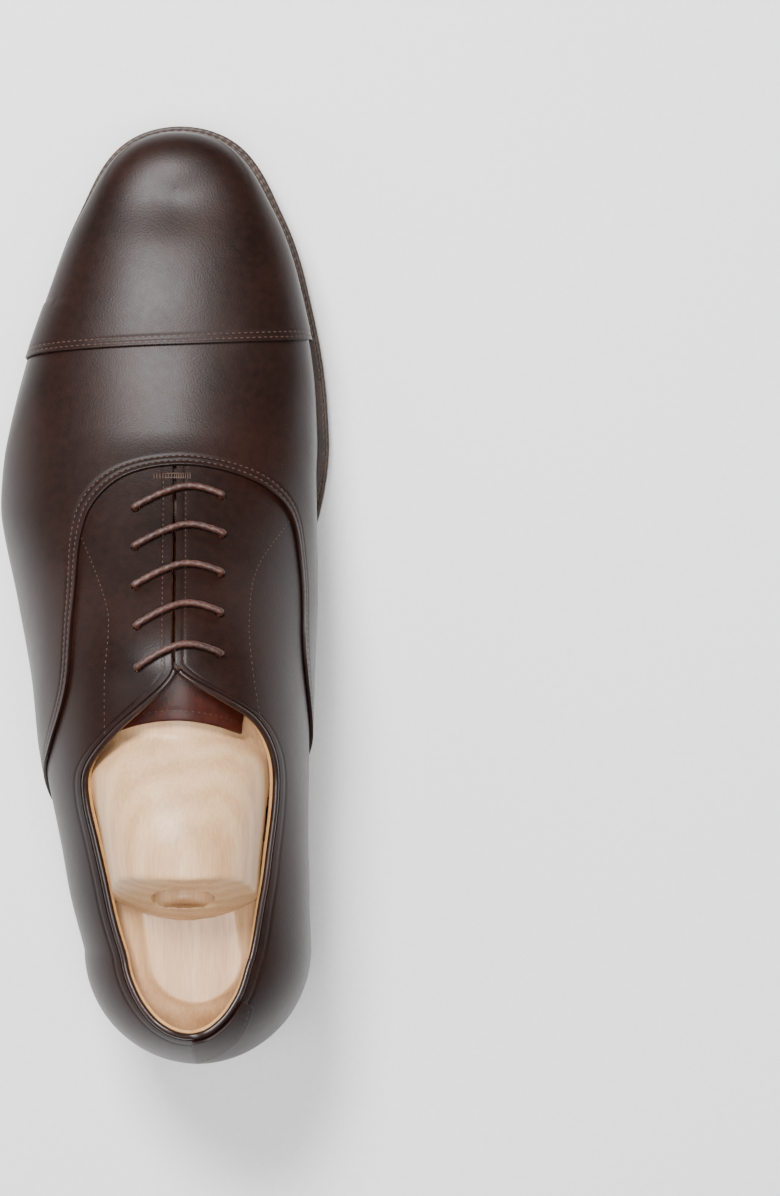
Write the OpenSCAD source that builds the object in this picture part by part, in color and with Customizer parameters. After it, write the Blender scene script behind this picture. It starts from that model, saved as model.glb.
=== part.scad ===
// A left leather oxford: closed lacing, toe cap, welted sole, stacked heel, wooden tree inside.
// The toe points along +Y, the big-toe side is +X, up is +Z.
// The origin lies on the ground, under the middle of the shoe's box.

/* [Last] */
// Length from the back of the heel to the tip of the sole
shoe_length = 305; // [250:1:370]
// Width of the sole across the ball
ball_width = 107.8; // [88:0.1:130]
// Height of the instep above the welt at the top of the facings
instep_height = 79.5; // [64:0.5:96]
// Height that the toe tip stands off the ground
toe_spring = 9; // [4:0.5:14]

/* [Leather] */
// Thickness of the outer leather
leather_t = 1.3; // [0.9:0.1:1.8]
// Thickness of the lining leather
lining_t = 1.0; // [0.7:0.1:1.4]
// Thickness of the toe puff and of the heel counter
stiffener_t = 1.4; // [0.8:0.1:2]
// Thickness of the tongue with its lining
tongue_t = 1.8; // [1.2:0.1:2.6]
// Air between two layers of leather
layer_gap = 0.4; // [0.35:0.05:0.6]
// Gap between the two facings when laced
facing_gap = 1.2; // [0.8:0.1:4]
// Diameter of the rolled binding of the topline
binding_d = 2.8; // [2.4:0.1:3.4]

/* [Sole] */
// Thickness of the outsole
outsole_t = 5; // [3.5:0.5:8]
// Thickness of the welt and of the heel rand
welt_t = 2.8; // [2:0.1:4]
// Width of the welt strip
welt_w = 9; // [8:0.5:11]
// Thickness of the insole
insole_t = 3; // [2:0.5:4]
// Thickness of the sock lining
sock_t = 0.8; // [0.6:0.1:1.2]
// Thickness of the steel shank
shank_t = 1.6; // [1:0.1:2]
// Width of the steel shank
shank_w = 14; // [10:1:18]

/* [Heel] */
// Height of the heel with its top piece
heel_height = 24; // [18:1:32]
// Thickness of the rubber top piece
top_piece_t = 6; // [4:0.5:8]
// Diameter of a heel nail
nail_d = 1.8; // [1.2:0.1:2.4]
// How far the heel draws in from its seat to the ground
heel_taper = 2; // [0:0.5:4]

/* [Lacing] */
// Diameter of the round lace
lace_d = 2.1; // [1.6:0.1:2.6]
// Diameter of a punched lace hole
eyelet_d = 4.4; // [3.8:0.1:5.2]
// Distance between two rows of lace holes
eyelet_pitch = 12.4; // [10:0.1:14]

/* [Tree] */
// Clearance between the tree and the lining
tree_gap = 1; // [0.8:0.1:1.6]
// Height of the tree's crest above the heel seat
tree_height = 76; // [68:1:84]
// Height of the tree's heel plate above the heel seat
tree_plate = 42; // [36:1:48]
// Diameter of the finger hole
finger_d = 19; // [16:0.5:22]
// Diameter of the guide rod between the two blocks
rod_d = 8; // [6:0.5:10]
// Running clearance of the guide rod, on the radius
rod_clear = 0.3; // [0.2:0.05:0.5]
// Travel of the sprung heel block
tree_travel = 12; // [8:1:16]
// Wire diameter of the tree's spring
spring_wire = 1.4; // [1:0.1:1.8]

/* [Hidden] */

$fn = 32;
// Length and width that the outline tables are drawn at
drawn_length = 305;
drawn_width = 107.8;
len_k = shoe_length / drawn_length;
wid_k = ball_width / drawn_width;
// Instep height that the crown table is drawn at
drawn_instep = 79.5;
crown_k = instep_height / drawn_instep;

// Stations run along the drawn length: negative behind the middle, then round the heel.
toe_at = 92.5;
toe_reach = 60;
tip_at = toe_at + toe_reach;
heel_at = -116;
heel_arc = 57;
back_at = heel_at - heel_arc;
// Where the tip's rib meets the ridge of the toe
ridge_end = 128;

// Number of heel lifts above the top piece, and the thickness of each
lifts = 4;
lift_t = (heel_height - top_piece_t) / lifts;
// Front face of the heel, its hollow and the hollow's radius
breast_at = -74;
breast_hollow = 3;
breast_r = 180;

// x of the ridge line, which the laced slit follows
ridge_x = [[-116, 13.5], [-97, 10.8], [-64, 9.5], [-20, 8.1], [36, 6.3], [92, 5.4], [153, 5.4]];
// Half widths from the ridge line: the sole's edge, then the widest line of the upper
sole_lat = [[-116, 36.3], [-96, 37], [-83, 38.3], [-56, 42.6], [-30, 48.4], [-4, 55.5], [22, 60.2],
    [36, 60.4], [49, 58.7], [75, 51.8], [102, 42.8], [115, 38.3], [128, 33.9], [140, 32.4], [153, 33]];
sole_med = [[-116, 35], [-96, 36], [-83, 35.2], [-56, 32.2], [-30, 31.1], [-4, 34.5], [22, 43.8],
    [36, 47.2], [49, 48.4], [75, 46.7], [102, 41.4], [115, 37.9], [128, 33.9], [140, 32.4], [153, 33]];
upper_lat = [[-116, 37.1], [-96, 39.4], [-83, 41], [-56, 45.6], [-30, 49.1], [-4, 53.7], [22, 58.6],
    [36, 58.3], [49, 56.4], [75, 49.2], [102, 39.9], [115, 35.1], [128, 30.9], [140, 29.4], [153, 30]];
upper_med = [[-116, 35.8], [-96, 38], [-83, 38.3], [-56, 39.3], [-30, 40.8], [-4, 43], [22, 43.6],
    [36, 43.9], [49, 44.6], [75, 43.4], [102, 38.3], [115, 34.9], [128, 30.9], [140, 29.4], [153, 30]];
// How much of the welt shows outside the upper's foot
reveal = [[-173, 1.2], [-60, 1.2], [-10, 2], [30, 3.4], [153, 3.4]];
// Height of the widest line above the welt
belly = [[-173, 14.2], [-116, 13.2], [-56, 14], [-20, 20], [20, 22], [50, 18.2], [92, 17], [153, 10.2]];
// Height of the ridge above the welt; behind the facings it is the dome that the topline cuts
crown = [[-173, 72.9], [-144, 62.2], [-116, 56.2], [-97, 56.2], [-64, 62.5], [-45, 71], [-20, 79.5],
    [10, 68.8], [36, 54.2], [50, 47.7], [75, 42.2], [92, 38.7], [110, 33.5], [128, 26.5], [153, 26.5]];
// Fullness of a section: below 1 is boxier, above 1 is more like a roof
fullness = [[-173, 1], [-64, 1], [-20, 1.04], [20, 1.06], [50, 0.98], [92, 0.9], [153, 0.88]];

// Smooth curve through a table of [place, value]
function last_of(k) = len(k) - 1;
function find(t, k, i = 0) = i >= last_of(k) - 1 || t < k[i + 1][0] ? i : find(t, k, i + 1);
function slope(k, i) = let(a = max(i - 1, 0), b = min(i + 1, last_of(k)))
    (k[b][1] - k[a][1]) / (k[b][0] - k[a][0]);
function hermite(s, d, p, m, q, n) = p * (2 * s * s * s - 3 * s * s + 1) + d * m * (s * s * s - 2 * s * s + s)
    + q * (3 * s * s - 2 * s * s * s) + d * n * (s * s * s - s * s);
function along(t, k) = let(c = min(max(t, k[0][0]), k[last_of(k)][0]), i = find(c, k), d = k[i + 1][0] - k[i][0])
    hermite((c - k[i][0]) / d, d, k[i][1], slope(k, i), k[i + 1][1], slope(k, i + 1));
function mix(a, b, s) = a + (b - a) * s;
function ease(s) = let(c = min(max(s, 0), 1)) c * c * (3 - 2 * c);

// Underside of the outsole at a drawn place
function under(y) = heel_height * ease((25 - y) / 97) + toe_spring * pow(max(y - 50, 0) / 102.5, 2);
function tread(y) = under(y) + outsole_t;
function foot(y) = tread(y) + welt_t;
// Air between the sole's layers
sole_gap = 0.1;
function ridge(y) = foot(y) + along(y, crown) * crown_k;
// The drawn place of a station: round the heel and the toe it is worked out from the turn
function turn(u) = 90 * max(heel_at - u, 0) / heel_arc;
function toe_turn(u) = 90 * pow(min(max(u - toe_at, 0) / toe_reach, 1), 2);
function place(u) = u < heel_at ? heel_at - 36 * sin(turn(u))
    : u > toe_at ? toe_at + toe_reach * sqrt(sin(toe_turn(u))) : u;

// Plan point of a line of half width table h, drawn in by inset, with side -1 or 1
function plan(u, side, h, inset, round_back) = u > toe_at
    ? let(psi = toe_turn(u), y = toe_at + (toe_reach - inset) * sqrt(sin(psi)))
        [along(y, ridge_x) * wid_k + side * (along(y, h) * wid_k - inset) * cos(psi), y * len_k]
    : u >= heel_at
    ? [along(u, ridge_x) * wid_k + side * (along(u, h) * wid_k - inset), u * len_k]
    : let(phi = turn(u), r = mix(along(heel_at, h) * wid_k, round_back * len_k, sin(phi) * sin(phi)) - inset)
        [along(heel_at, ridge_x) * wid_k + side * r * cos(phi), heel_at * len_k - r * sin(phi)];
function sole_point(u, side, inset = 0) = plan(u, side, side < 0 ? sole_lat : sole_med, inset, 35);
function wide_point(u, side) = u > toe_at
    ? plan(u, side, side < 0 ? sole_lat : sole_med, 3.1, 36.5)
    : plan(u, side, side < 0 ? upper_lat : upper_med, 0, 36.5);
function foot_point(u, side) = sole_point(u, side, along(u, reveal));
// Ridge point that the station's rib climbs to
function ridge_y(u) = u > toe_at
    ? toe_at + (ridge_end - toe_at) * (1 - pow(1 - min((u - toe_at) / toe_reach, 1), 2.1))
    : max(u, heel_at);
function ridge_point(u) = let(y = ridge_y(u)) [along(y, ridge_x) * wid_k, y * len_k];
function ridge_slope(y) = (ridge(y + 0.5) - ridge(y - 0.5)) / len_k;

// The upper's outer surface. w is -1 at the lateral foot, 0 on the ridge, 1 at the medial foot.
low_part = 0.2;
low_turn = 65;
// Air between the upper's foot and the welt
foot_gap = 0.35;
function shape(u, w) = let(side = w < 0 ? -1 : 1, v = 1 - abs(w), pw = wide_point(u, side), y = place(u),
        zf = foot(y) + foot_gap, zw = foot(y) + along(u, belly))
    v < low_part
    ? let(a = low_turn * (1 - v / low_part), pf = foot_point(u, side),
            q = pw + (pf - pw) * (1 - cos(a)) / (1 - cos(low_turn)))
        [q[0], q[1], zw - (zw - zf) * sin(a) / sin(low_turn)]
    : let(a = 90 * (v - low_part) / (1 - low_part), e = along(u, fullness), t = ridge_point(u), ty = ridge_y(u),
            zr = u < heel_at ? foot(y) + along(u, crown) * crown_k : ridge(ty),
            f = pow(max(cos(a), 0), e), q = t + (pw - t) * f, g = pow(max(sin(a), 0), e),
            tilt = u > toe_at ? ridge_slope(ty) * (q[1] - t[1]) * (1 - f) * (1 - f) : 0)
        [q[0], q[1], zw + (zr - zw) * g + tilt];
function unit(v) = v / max(norm(v), 0.000001);
function normal(u, w) = let(tu = u > tip_at - 0.3 || u < back_at + 0.3 ? [1, 0, 0]
            : shape(u + 0.25, w) - shape(u - 0.25, w),
        side = w < 0 ? -1 : 1,
        tw = abs(w) < 0.004 ? shape(u, w + 0.004) - shape(u, w - 0.004)
            : abs(w) > 0.99 ? shape(u, w - 0.003 * side) - shape(u, w)
            : shape(u, w + 0.003) - shape(u, w - 0.003),
        n = unit(cross(tu, tw)), out = shape(u, w) - concat(ridge_point(u), foot(place(u)) + 10))
    n * out < 0 ? -n : n;
// A point off the surface, kept above the welt
function skin(u, w, off) = let(p = shape(u, w) + off * normal(u, w))
    [p[0], p[1], max(p[2], foot(place(u)) + foot_gap)];

// Closed loft through rings of equal length. A ring at an end is either capped or folded onto itself;
// fold gives how many mirrored halves a folded ring has, 0 for none.
module loft(rings, fold_first = 0, fold_last = 0) {
    n = len(rings[0]);
    r = len(rings);
    function halves(i) = i == 0 ? fold_first : i == r - 1 ? fold_last : 0;
    function at(i, j) = let(k = j % n, h = halves(i), m = h > 0 ? n / h : n)
        i * n + (h > 0 ? floor(k / m) * m + min(k % m, m - 1 - k % m) : k);
    sides = [for (i = [0:r - 2], j = [0:n - 1])
        each [[at(i, j), at(i + 1, j + 1), at(i, j + 1)], [at(i, j), at(i + 1, j), at(i + 1, j + 1)]]];
    ladder = ceil(n / 2) - 2;
    front = fold_first > 0 ? [] : [for (j = [0:ladder])
        each [[j, n - 2 - j, n - 1 - j], [j, j + 1, n - 2 - j]]];
    b = (r - 1) * n;
    rear = fold_last > 0 ? [] : [for (j = [0:ladder])
        each [[b + j, b + n - 1 - j, b + n - 2 - j], [b + j, b + n - 2 - j, b + j + 1]]];
    faces = [for (f = concat(sides, front, rear)) if (f[0] != f[1] && f[1] != f[2] && f[0] != f[2]) f];
    points = [for (ring = rings) each ring];
    // Faces turn outwards whichever way the rings run
    out = volume(points, faces) > 0;
    polyhedron(points, out ? faces : [for (f = faces) [f[0], f[2], f[1]]], convexity = 10);
}
function total(l, i = 0, t = 0) = i == len(l) ? t : total(l, i + 1, t + l[i]);
function volume(points, faces) = -total([for (f = faces) points[f[0]] * cross(points[f[1]], points[f[2]])]);
function backwards(l) = [for (i = [len(l) - 1:-1:0]) l[i]];
// Stations: even steps from a to b, both ends kept
function steps(a, b, n) = [for (i = [0:n]) mix(a, b, i / n)];
// A list of [u, w] read at a fractional index, straight between its points
function walk(l, t) = let(i = min(floor(t), len(l) - 2)) mix(l[i], l[i + 1], t - i);
// The same list read along a smooth curve
function sweep_at(l, t) = let(n = len(l) - 1, i = min(floor(t), n - 1), s = t - i,
        m = (l[min(i + 1, n)] - l[max(i - 1, 0)]) / 2, k = (l[min(i + 2, n)] - l[i]) / 2)
    hermite(s, 1, l[i], m, l[i + 1], k);
// Section of a layer: outer points, then the inner ones back; each item is [u, w, outer offset, thickness]
function layer_ring(items) = concat([for (q = items) skin(q[0], q[1], q[2])],
    backwards([for (q = items) skin(q[0], q[1], q[2] - q[3])]));

// Place of a point on a rib by its share of the half width, and by its distance from the ridge
function w_of(u, side, share) = side * (1 - low_part) * (1 - acos(min(pow(share, 1 / along(u, fullness)), 1)) / 90);
function half_width(u, side) = norm(wide_point(u, side) - ridge_point(u));
function w_at(u, side, distance) = w_of(u, side, distance / half_width(u, side));

// Edges of the upper, as [station, share of the half width]
topline_lat = [[-173, 0.67], [-164, 0.675], [-154, 0.655], [-145, 0.628], [-133, 0.608], [-120, 0.618],
    [-108, 0.645], [-94, 0.66], [-80, 0.69], [-66, 0.71], [-56, 0.66], [-44, 0.43], [-34, 0.18], [-28, 0.05], [-24, 0]];
topline_med = [[-173, 0.67], [-166, 0.652], [-157, 0.605], [-142, 0.54], [-121, 0.515], [-108, 0.6], [-98, 0.66], [-87, 0.715],
    [-64, 0.785], [-51, 0.757], [-40, 0.61], [-33, 0.36], [-27, 0.12], [-23, 0]];
function top_w(u, side) = w_of(u, side, max(along(u, side < 0 ? topline_lat : topline_med),
    facing_gap / 2 / half_width(u, side)));

// Vamp: its seam over the quarters, from the lateral wing round the throat to the medial wing
vamp_seam = [[-74, -0.94], [-62, -0.76], [-50, -0.555], [-32, -0.404], [-8, -0.338], [16, -0.287],
    [28, -0.23], [36, -0.13], [38.8, 0.02], [36.5, 0.21], [30.4, 0.39], [21, 0.515], [4, 0.57],
    [-17, 0.604], [-33, 0.68], [-46, 0.785], [-60, 0.94]];
// Its other edge: along the foot, along the toe cap's seam, and back along the foot
cap_seam = 77;
vamp_edge = [[-76, -1], [-62, -1], [-44, -1], [-20, -1], [10, -1], [42, -1], [cap_seam + 7, -1],
    [cap_seam + 9, -0.5], [cap_seam + 11, 0], [cap_seam + 13, 0.5], [cap_seam + 15, 1], [50, 1],
    [22, 1], [-6, 1], [-28, 1], [-46, 1], [-62, 1]];
lap = leather_t + layer_gap;
// How far one leather laps over another before it comes down to the common surface
lap_w = 11;
lap_fall = 28;
function lapped(d) = 1 - ease((d - lap_w) / lap_fall);
// The toe cap comes down evenly to the tip
function cap_lift(d) = 1 - min(max(d / 70, 0), 1);
module vamp() {
    across = 10;
    rings = [for (t = concat(steps(0, 5.6, 14), steps(6, 10, 20), steps(10.4, 16, 14)))
        let(a = sweep_at(vamp_seam, t), b = walk(vamp_edge, t), d = norm(shape(b[0], b[1]) - shape(a[0], a[1])))
        layer_ring([for (j = [0:across]) let(s = pow(j / across, 1.25), q = mix(a, b, s))
            [q[0], q[1], lap * lapped(d * s), leather_t]])];
    color([0.2, 0.12, 0.09]) loft(rings);
}

// The cap's seam runs a little further forward on the medial side
function cap_line(w) = cap_seam + 1 + 4 * w;
w_steps = [for (i = [-14:14]) i / 14];
// A layer round the toe, in rows of stations from the one at start(w); over lifts its first lap
module toe_layer(rows, start, over, outer, thick) {
    loft([for (i = [0:rows]) layer_ring([for (w = w_steps)
        let(a = cap_line(w) + start, u = mix(a, tip_at, i / rows), lift = over * cap_lift(u - a))
        [u, w, outer + lift, thick]])], fold_last = 2);
}
module toe_cap() {
    color([0.2, 0.12, 0.09]) toe_layer(13, 0, lap, 0, leather_t);
}
module toe_puff() {
    color([0.8, 0.76, 0.66]) toe_layer(10, -6, 0, -lap, stiffener_t);
}

// Where a stiffener lies between the leather and the lining: 1 over it, 0 away from it
counter_front = -73;
counter_top = 0.44;
function stiff(u, w) = max(ease((u - cap_line(w) + 18) / 10),
    ease((counter_front + 11 - u) / 10) * ease((abs(w) - counter_top + 0.11) / 0.1));
function lining_out(u, w) = -lap - (stiffener_t + layer_gap) * stiff(u, w);
// Station where the vamp lining meets the quarter lining
lining_seam = 34;
module vamp_lining() {
    rows = 17;
    color([0.78, 0.64, 0.44]) loft([for (i = [0:rows]) layer_ring([for (w = w_steps)
        let(u = mix(lining_seam + 0.1, tip_at, i / rows)) [u, w, lining_out(u, w), lining_t]])],
        fold_last = 2);
}

// Stations of a layer that runs from the lateral side round the heel to the medial side
function heel_path(a, n) = concat([for (u = steps(a, back_at, n)) [u, -1]],
    [for (u = steps(back_at, a, n)) if (u > back_at + 0.01) [u, 1]]);
module quarter_lining() {
    rows = 9;
    color([0.78, 0.64, 0.44]) difference() {
        loft([for (q = heel_path(lining_seam - 0.1, 27)) layer_ring([for (j = [0:rows])
            let(w = mix(q[1], top_w(q[0], q[1]), j / rows)) [q[0], w, lining_out(q[0], w), lining_t]])]);
        lace_holes(-1);
        lace_holes(1);
    }
}
module heel_counter() {
    rows = 7;
    color([0.7, 0.6, 0.45]) loft([for (q = heel_path(counter_front, 15)) layer_ring([for (j = [0:rows])
        let(w = q[1] * mix(1, counter_top, j / rows)) [q[0], w, -lap, stiffener_t]])]);
}

// Quarters: top edge along the facing and the topline, lower edge under the vamp and along the foot
quarter_top = [52, 47, 41, 34, 26, 18, 8, -2, -12, -20, -25, -30, -36, -42, -48, -56, -64, -80, -98,
    -116, -130, -144, -158, back_at + 0.8];
quarter_low_lat = [[52, -0.1], [51, -0.2], [48, -0.26], [42, -0.33], [34, -0.37], [22, -0.42],
    [8, -0.45], [-6, -0.47], [-16, -0.49], [-26, -0.52], [-33, -0.55], [-39, -0.59], [-45, -0.65],
    [-50, -0.72], [-56, -0.82], [-63, -0.92], [-71, -1], [-84, -1], [-100, -1], [-116, -1],
    [-130, -1], [-144, -1], [-158, -1], [back_at + 0.8, -1]];
quarter_low_med = [[52, 0.1], [52, 0.2], [50, 0.32], [46, 0.43], [40, 0.52], [30, 0.6], [16, 0.66],
    [2, 0.69], [-12, 0.71], [-22, 0.74], [-30, 0.79], [-38, 0.86], [-46, 0.94], [-53, 0.98], [-58, 1],
    [-66, 1], [-74, 1], [-86, 1], [-100, 1], [-116, 1], [-130, 1], [-144, 1], [-158, 1],
    [back_at + 0.8, 1]];
module quarter(side) {
    across = 10;
    low = side < 0 ? quarter_low_lat : quarter_low_med;
    color([0.22, 0.13, 0.1]) difference() {
        loft([for (t = steps(0, len(low) - 1, 42))
            let(u = walk([for (v = quarter_top) [v, 0]], t)[0], a = [u, top_w(u, side)], b = walk(low, t))
            layer_ring([for (j = [0:across]) let(q = mix(a, b, j / across)) [q[0], q[1], 0, leather_t]])]);
        lace_holes(side);
    }
}
module quarter_lateral() { quarter(-1); }
module quarter_medial() { quarter(1); }

// Curved tab that carries the lateral quarter over the back seam
tab_low = [[-173, 0.9], [-157, 0.8], [-147, 0.7], [-141, 0.64]];
module back_tab() {
    color([0.2, 0.12, 0.09]) loft([for (u = steps(back_at + 0.1, -141, 10))
        layer_ring([for (j = [0:4]) [u, mix(top_w(u, 1), w_of(u, 1, along(u, tab_low)), j / 4), lap, leather_t]])]);
}

// Tongue, held under the vamp's lining in front
tongue_front = 44;
tongue_back = -46;
// How far the middle of its top edge lies ahead of the corners
tongue_arch = 4;
tongue_depth = lap + lining_t + 2 * layer_gap + lace_d + 0.15;
function tongue_out(u) = -mix(lap + lining_t + layer_gap, tongue_depth, ease((38 - u) / 16));
module tongue() {
    color([0.25, 0.13, 0.1]) loft([for (u = steps(tongue_front, tongue_back, 22))
        let(half = mix(24, 26, ease((u - tongue_back) / 12)))
        layer_ring([for (k = [-4:4]) let(side = k < 0 ? -1 : 1)
            [u + tongue_arch * (1 - k * k / 16) * ease((-20 - u) / 24), abs(k) / 4 * w_at(u, side, half * wid_k),
                tongue_out(u), tongue_t]])]);
}

// Rolled binding along the topline, standing on the edges of the quarter and its lining
function rim(u, side) = let(w = top_w(u, side), p = skin(u, w, -(lap + lining_t) / 2),
        q = shape(u + 1, top_w(u + 1, side)) - shape(u - 1, top_w(u - 1, side)),
        up = unit(cross(normal(u, w), q)), inward = shape(u, w * 0.9) - shape(u, w))
    p + (up * inward > 0 ? up : -up) * (binding_d / 2 + 0.1);
// Rings round a path of points, each square to the path
function ring_at(c, d, r, n, ref = [0, 0, 1]) = let(x = unit(cross(d, ref)), y = unit(cross(x, d)))
    [for (k = [0:n - 1]) c + r * (x * cos(360 * k / n) + y * sin(360 * k / n))];
function tube_rings(path, r, n, ref = [0, 0, 1]) = [for (i = [0:len(path) - 1])
    ring_at(path[i], unit(path[min(i + 1, len(path) - 1)] - path[max(i - 1, 0)]), r, n, ref)];
module topline_binding() {
    path = concat([for (u = steps(-25, -56, 10)) rim(u, -1)], [for (u = steps(-60, back_at + 1.1, 14)) rim(u, -1)],
        [for (u = steps(back_at + 1.1, -60, 14)) rim(u, 1)], [for (u = steps(-56, -25, 10)) rim(u, 1)]);
    color([0.1, 0.06, 0.05]) loft(tube_rings(path, binding_d / 2, 8));
}

// Bar tack across the front end of the slit, just behind the vamp's seam
tack_at = 35.6;
module bar_tack() {
    color([0.3, 0.2, 0.17]) loft([for (u = [tack_at - 0.8, tack_at, tack_at + 0.8])
        layer_ring([for (k = [-3:3]) [u, k * 0.012, 0.75 - 0.3 * abs(u - tack_at), 0.7 - 0.3 * abs(u - tack_at)]])]);
}

// Lace holes: rows count back from the front one
front_row_lat = 25;
front_row_med = 29;
// Distance of each row's hole from the slit
hole_lat = [12.4, 12.2, 11.9, 11.2, 11];
hole_med = [14.6, 14.8, 14.3, 14, 13.7];
rows_of_holes = 5;
function hole_u(side, row) = (side < 0 ? front_row_lat : front_row_med) - row * eyelet_pitch / len_k;
function hole_r(side, row) = (side < 0 ? hole_lat : hole_med)[row] * wid_k;
function hole_w(side, row) = w_at(hole_u(side, row), side, hole_r(side, row));
module along_axis(p, n) {
    translate(p) rotate([0, acos(n[2]), atan2(n[1], n[0])]) children();
}
module lace_holes(side) {
    for (row = [0:rows_of_holes - 1]) {
        u = hole_u(side, row);
        w = hole_w(side, row);
        along_axis(skin(u, w, 0), normal(u, w)) cylinder(h = 12, d = eyelet_d, center = true);
    }
}

// Lace: bars across the slit, joined by runs that lie between the facings and the tongue
bar_out = lace_d / 2 + 0.35;
run_in = -(lap + lining_t + layer_gap + lace_d / 2);
run_aside = lace_d / 2 + 0.25;
// How far the middle of a bar bows towards the toe
bar_bow = 4.5;
function bar(row, from) = [for (s = [0.1, 0.24, 0.37, 0.5, 0.63, 0.76, 0.9])
    let(a = [hole_u(from, row), hole_w(from, row)], b = [hole_u(-from, row), hole_w(-from, row)], q = mix(a, b, s))
    skin(q[0] + bar_bow * sin(180 * s), q[1], bar_out)];
function through(row, side, down) = let(u = hole_u(side, row), w = hole_w(side, row),
        l = [for (h = [bar_out, bar_out - 0.5, 0, run_in + 0.9, run_in]) skin(u, w, h)])
    down ? l : backwards(l);
// A hidden run from one row to another, aside of the line of holes
function run(a, b, side, aside) = [for (s = [0.16, 0.3, 0.5, 0.7, 0.84])
    let(u = mix(hole_u(side, a), hole_u(side, b), s), bend = sin(180 * s),
        w = w_at(u, side, mix(hole_r(side, a), hole_r(side, b), s) + aside * min(bend * 1.6, 1) * run_aside))
    skin(u, w, run_in)];
function tail(row, side, aside) = [for (k = [1:4])
    let(u = hole_u(side, row) + 4 * k, w = w_at(u, side, hole_r(side, row) + aside * run_aside * min(k / 2, 1)))
    skin(u, w, run_in)];
lace_route = concat(backwards(tail(3, -1, 1)), through(3, -1, false), bar(3, -1), through(3, 1, true),
    backwards(run(1, 3, 1, -1)), through(1, 1, false), bar(1, 1), through(1, -1, true),
    run(1, 0, -1, -1), through(0, -1, false), bar(0, -1), through(0, 1, true),
    run(0, 2, 1, 1), through(2, 1, false), bar(2, 1), through(2, -1, true),
    run(2, 4, -1, -1), through(4, -1, false), bar(4, -1), through(4, 1, true), tail(4, 1, 1));
module lace() {
    color([0.32, 0.18, 0.15]) loft(tube_rings(lace_route, lace_d / 2, 6, [0.13, 0.97, 0.2]));
}

// Flat layers of the bottom, between two edges of the same station
function bottom_ring(u, inset, low, high) = let(a = sole_point(u, -1, inset), b = sole_point(u, 1, inset))
    [concat(a, low), concat(a, high), concat(b, high), concat(b, low)];
bottom_stations = concat(steps(back_at, -116, 8), steps(-110, 86, 28), steps(toe_at, tip_at, 12));
module outsole() {
    color([0.13, 0.09, 0.08]) difference() {
        loft([for (u = bottom_stations) bottom_ring(u, 0, under(place(u)), tread(place(u)))], 1, 1);
        nail_set(nail_d);
    }
}
insole_in = lap + layer_gap + stiffener_t + lining_t + 1;
function insole_inset(u) = along(u, reveal) + insole_in;
module insole() {
    color([0.72, 0.58, 0.4]) loft([for (u = bottom_stations) let(z = foot(place(u)) + sole_gap)
        bottom_ring(u, insole_inset(u), z, z + insole_t)], 1, 1);
}
sock_front = -20;
module sock_lining() {
    color([0.75, 0.6, 0.4]) loft([for (u = bottom_stations) if (u < sock_front) let(z = foot(place(u)) + insole_t + 2 * sole_gap)
        bottom_ring(u, insole_inset(u) + 0.6, z, z + sock_t)], 1, 0);
}
// Cork fills the hollow inside the welt, in front of the shank
cork_back = -6;
module cork_filler() {
    color([0.6, 0.45, 0.3]) loft([for (u = concat([cork_back], [for (v = bottom_stations) if (v > cork_back) v]))
        bottom_ring(u, welt_w + 0.3, tread(place(u)) + sole_gap, foot(place(u)))], 0, 1);
}
module shank() {
    color([0.6, 0.62, 0.64]) loft([for (u = steps(cork_back - 2, -104, 12))
        let(x = (sole_point(u, -1)[0] + sole_point(u, 1)[0]) / 2, z = tread(place(u)) + sole_gap)
        [[x - shank_w / 2, u * len_k, z], [x - shank_w / 2, u * len_k, z + shank_t],
         [x + shank_w / 2, u * len_k, z + shank_t], [x + shank_w / 2, u * len_k, z]]]);
}
// A strip that follows the sole's edge on top of the outsole
module edge_strip(path) {
    loft([for (q = path) let(a = sole_point(q[0], q[1]), b = sole_point(q[0], q[1], welt_w), y = place(q[0]))
        [concat(a, tread(y) + sole_gap), concat(a, foot(y)), concat(b, foot(y)), concat(b, tread(y) + sole_gap)]]);
}
welt_back = -66;
module welt() {
    color([0.24, 0.17, 0.13]) edge_strip(concat([for (u = steps(welt_back, toe_at, 22)) [u, -1]],
        [for (u = steps(toe_at + 5, tip_at, 11)) [u, -1]], [for (u = steps(tip_at - 5, toe_at, 11)) [u, 1]],
        [for (u = steps(toe_at - 7, welt_back, 22)) [u, 1]]));
}
module heel_rand() {
    color([0.2, 0.14, 0.11]) edge_strip(heel_path(welt_back - 0.2, 16));
}

// Heel: lifts of one outline, drawn in towards the ground
function heel_outline(inset) = concat([for (u = concat(steps(breast_at, heel_at, 6), steps(heel_at, back_at, 9)))
        sole_point(u, -1, inset)],
    [for (u = concat(steps(back_at, heel_at, 9), steps(heel_at, breast_at, 6))) if (u > back_at + 1)
        sole_point(u, 1, inset)]);
module heel_layer(low, high) {
    inset = 0.3 + heel_taper * (1 - (low + high) / 2 / heel_height);
    difference() {
        translate([0, 0, low]) linear_extrude(high - low - 0.02) polygon(heel_outline(inset));
        nail_set(nail_d);
        // Hollow front face
        translate([along(breast_at, ridge_x) * wid_k, (breast_at - breast_hollow + breast_r) * len_k, -1])
            cylinder(h = heel_height + 2, r = breast_r * len_k, $fn = 180);
    }
}
module heel_lift(i) {
    color([0.16, 0.11, 0.09]) heel_layer(top_piece_t + (i - 1) * lift_t, top_piece_t + i * lift_t);
}
module heel_lift_1() { heel_lift(1); }
module heel_lift_2() { heel_lift(2); }
module heel_lift_3() { heel_lift(3); }
module heel_lift_4() { heel_lift(4); }
module heel_top_piece() {
    color([0.08, 0.08, 0.08]) heel_layer(0, top_piece_t);
}
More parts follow.
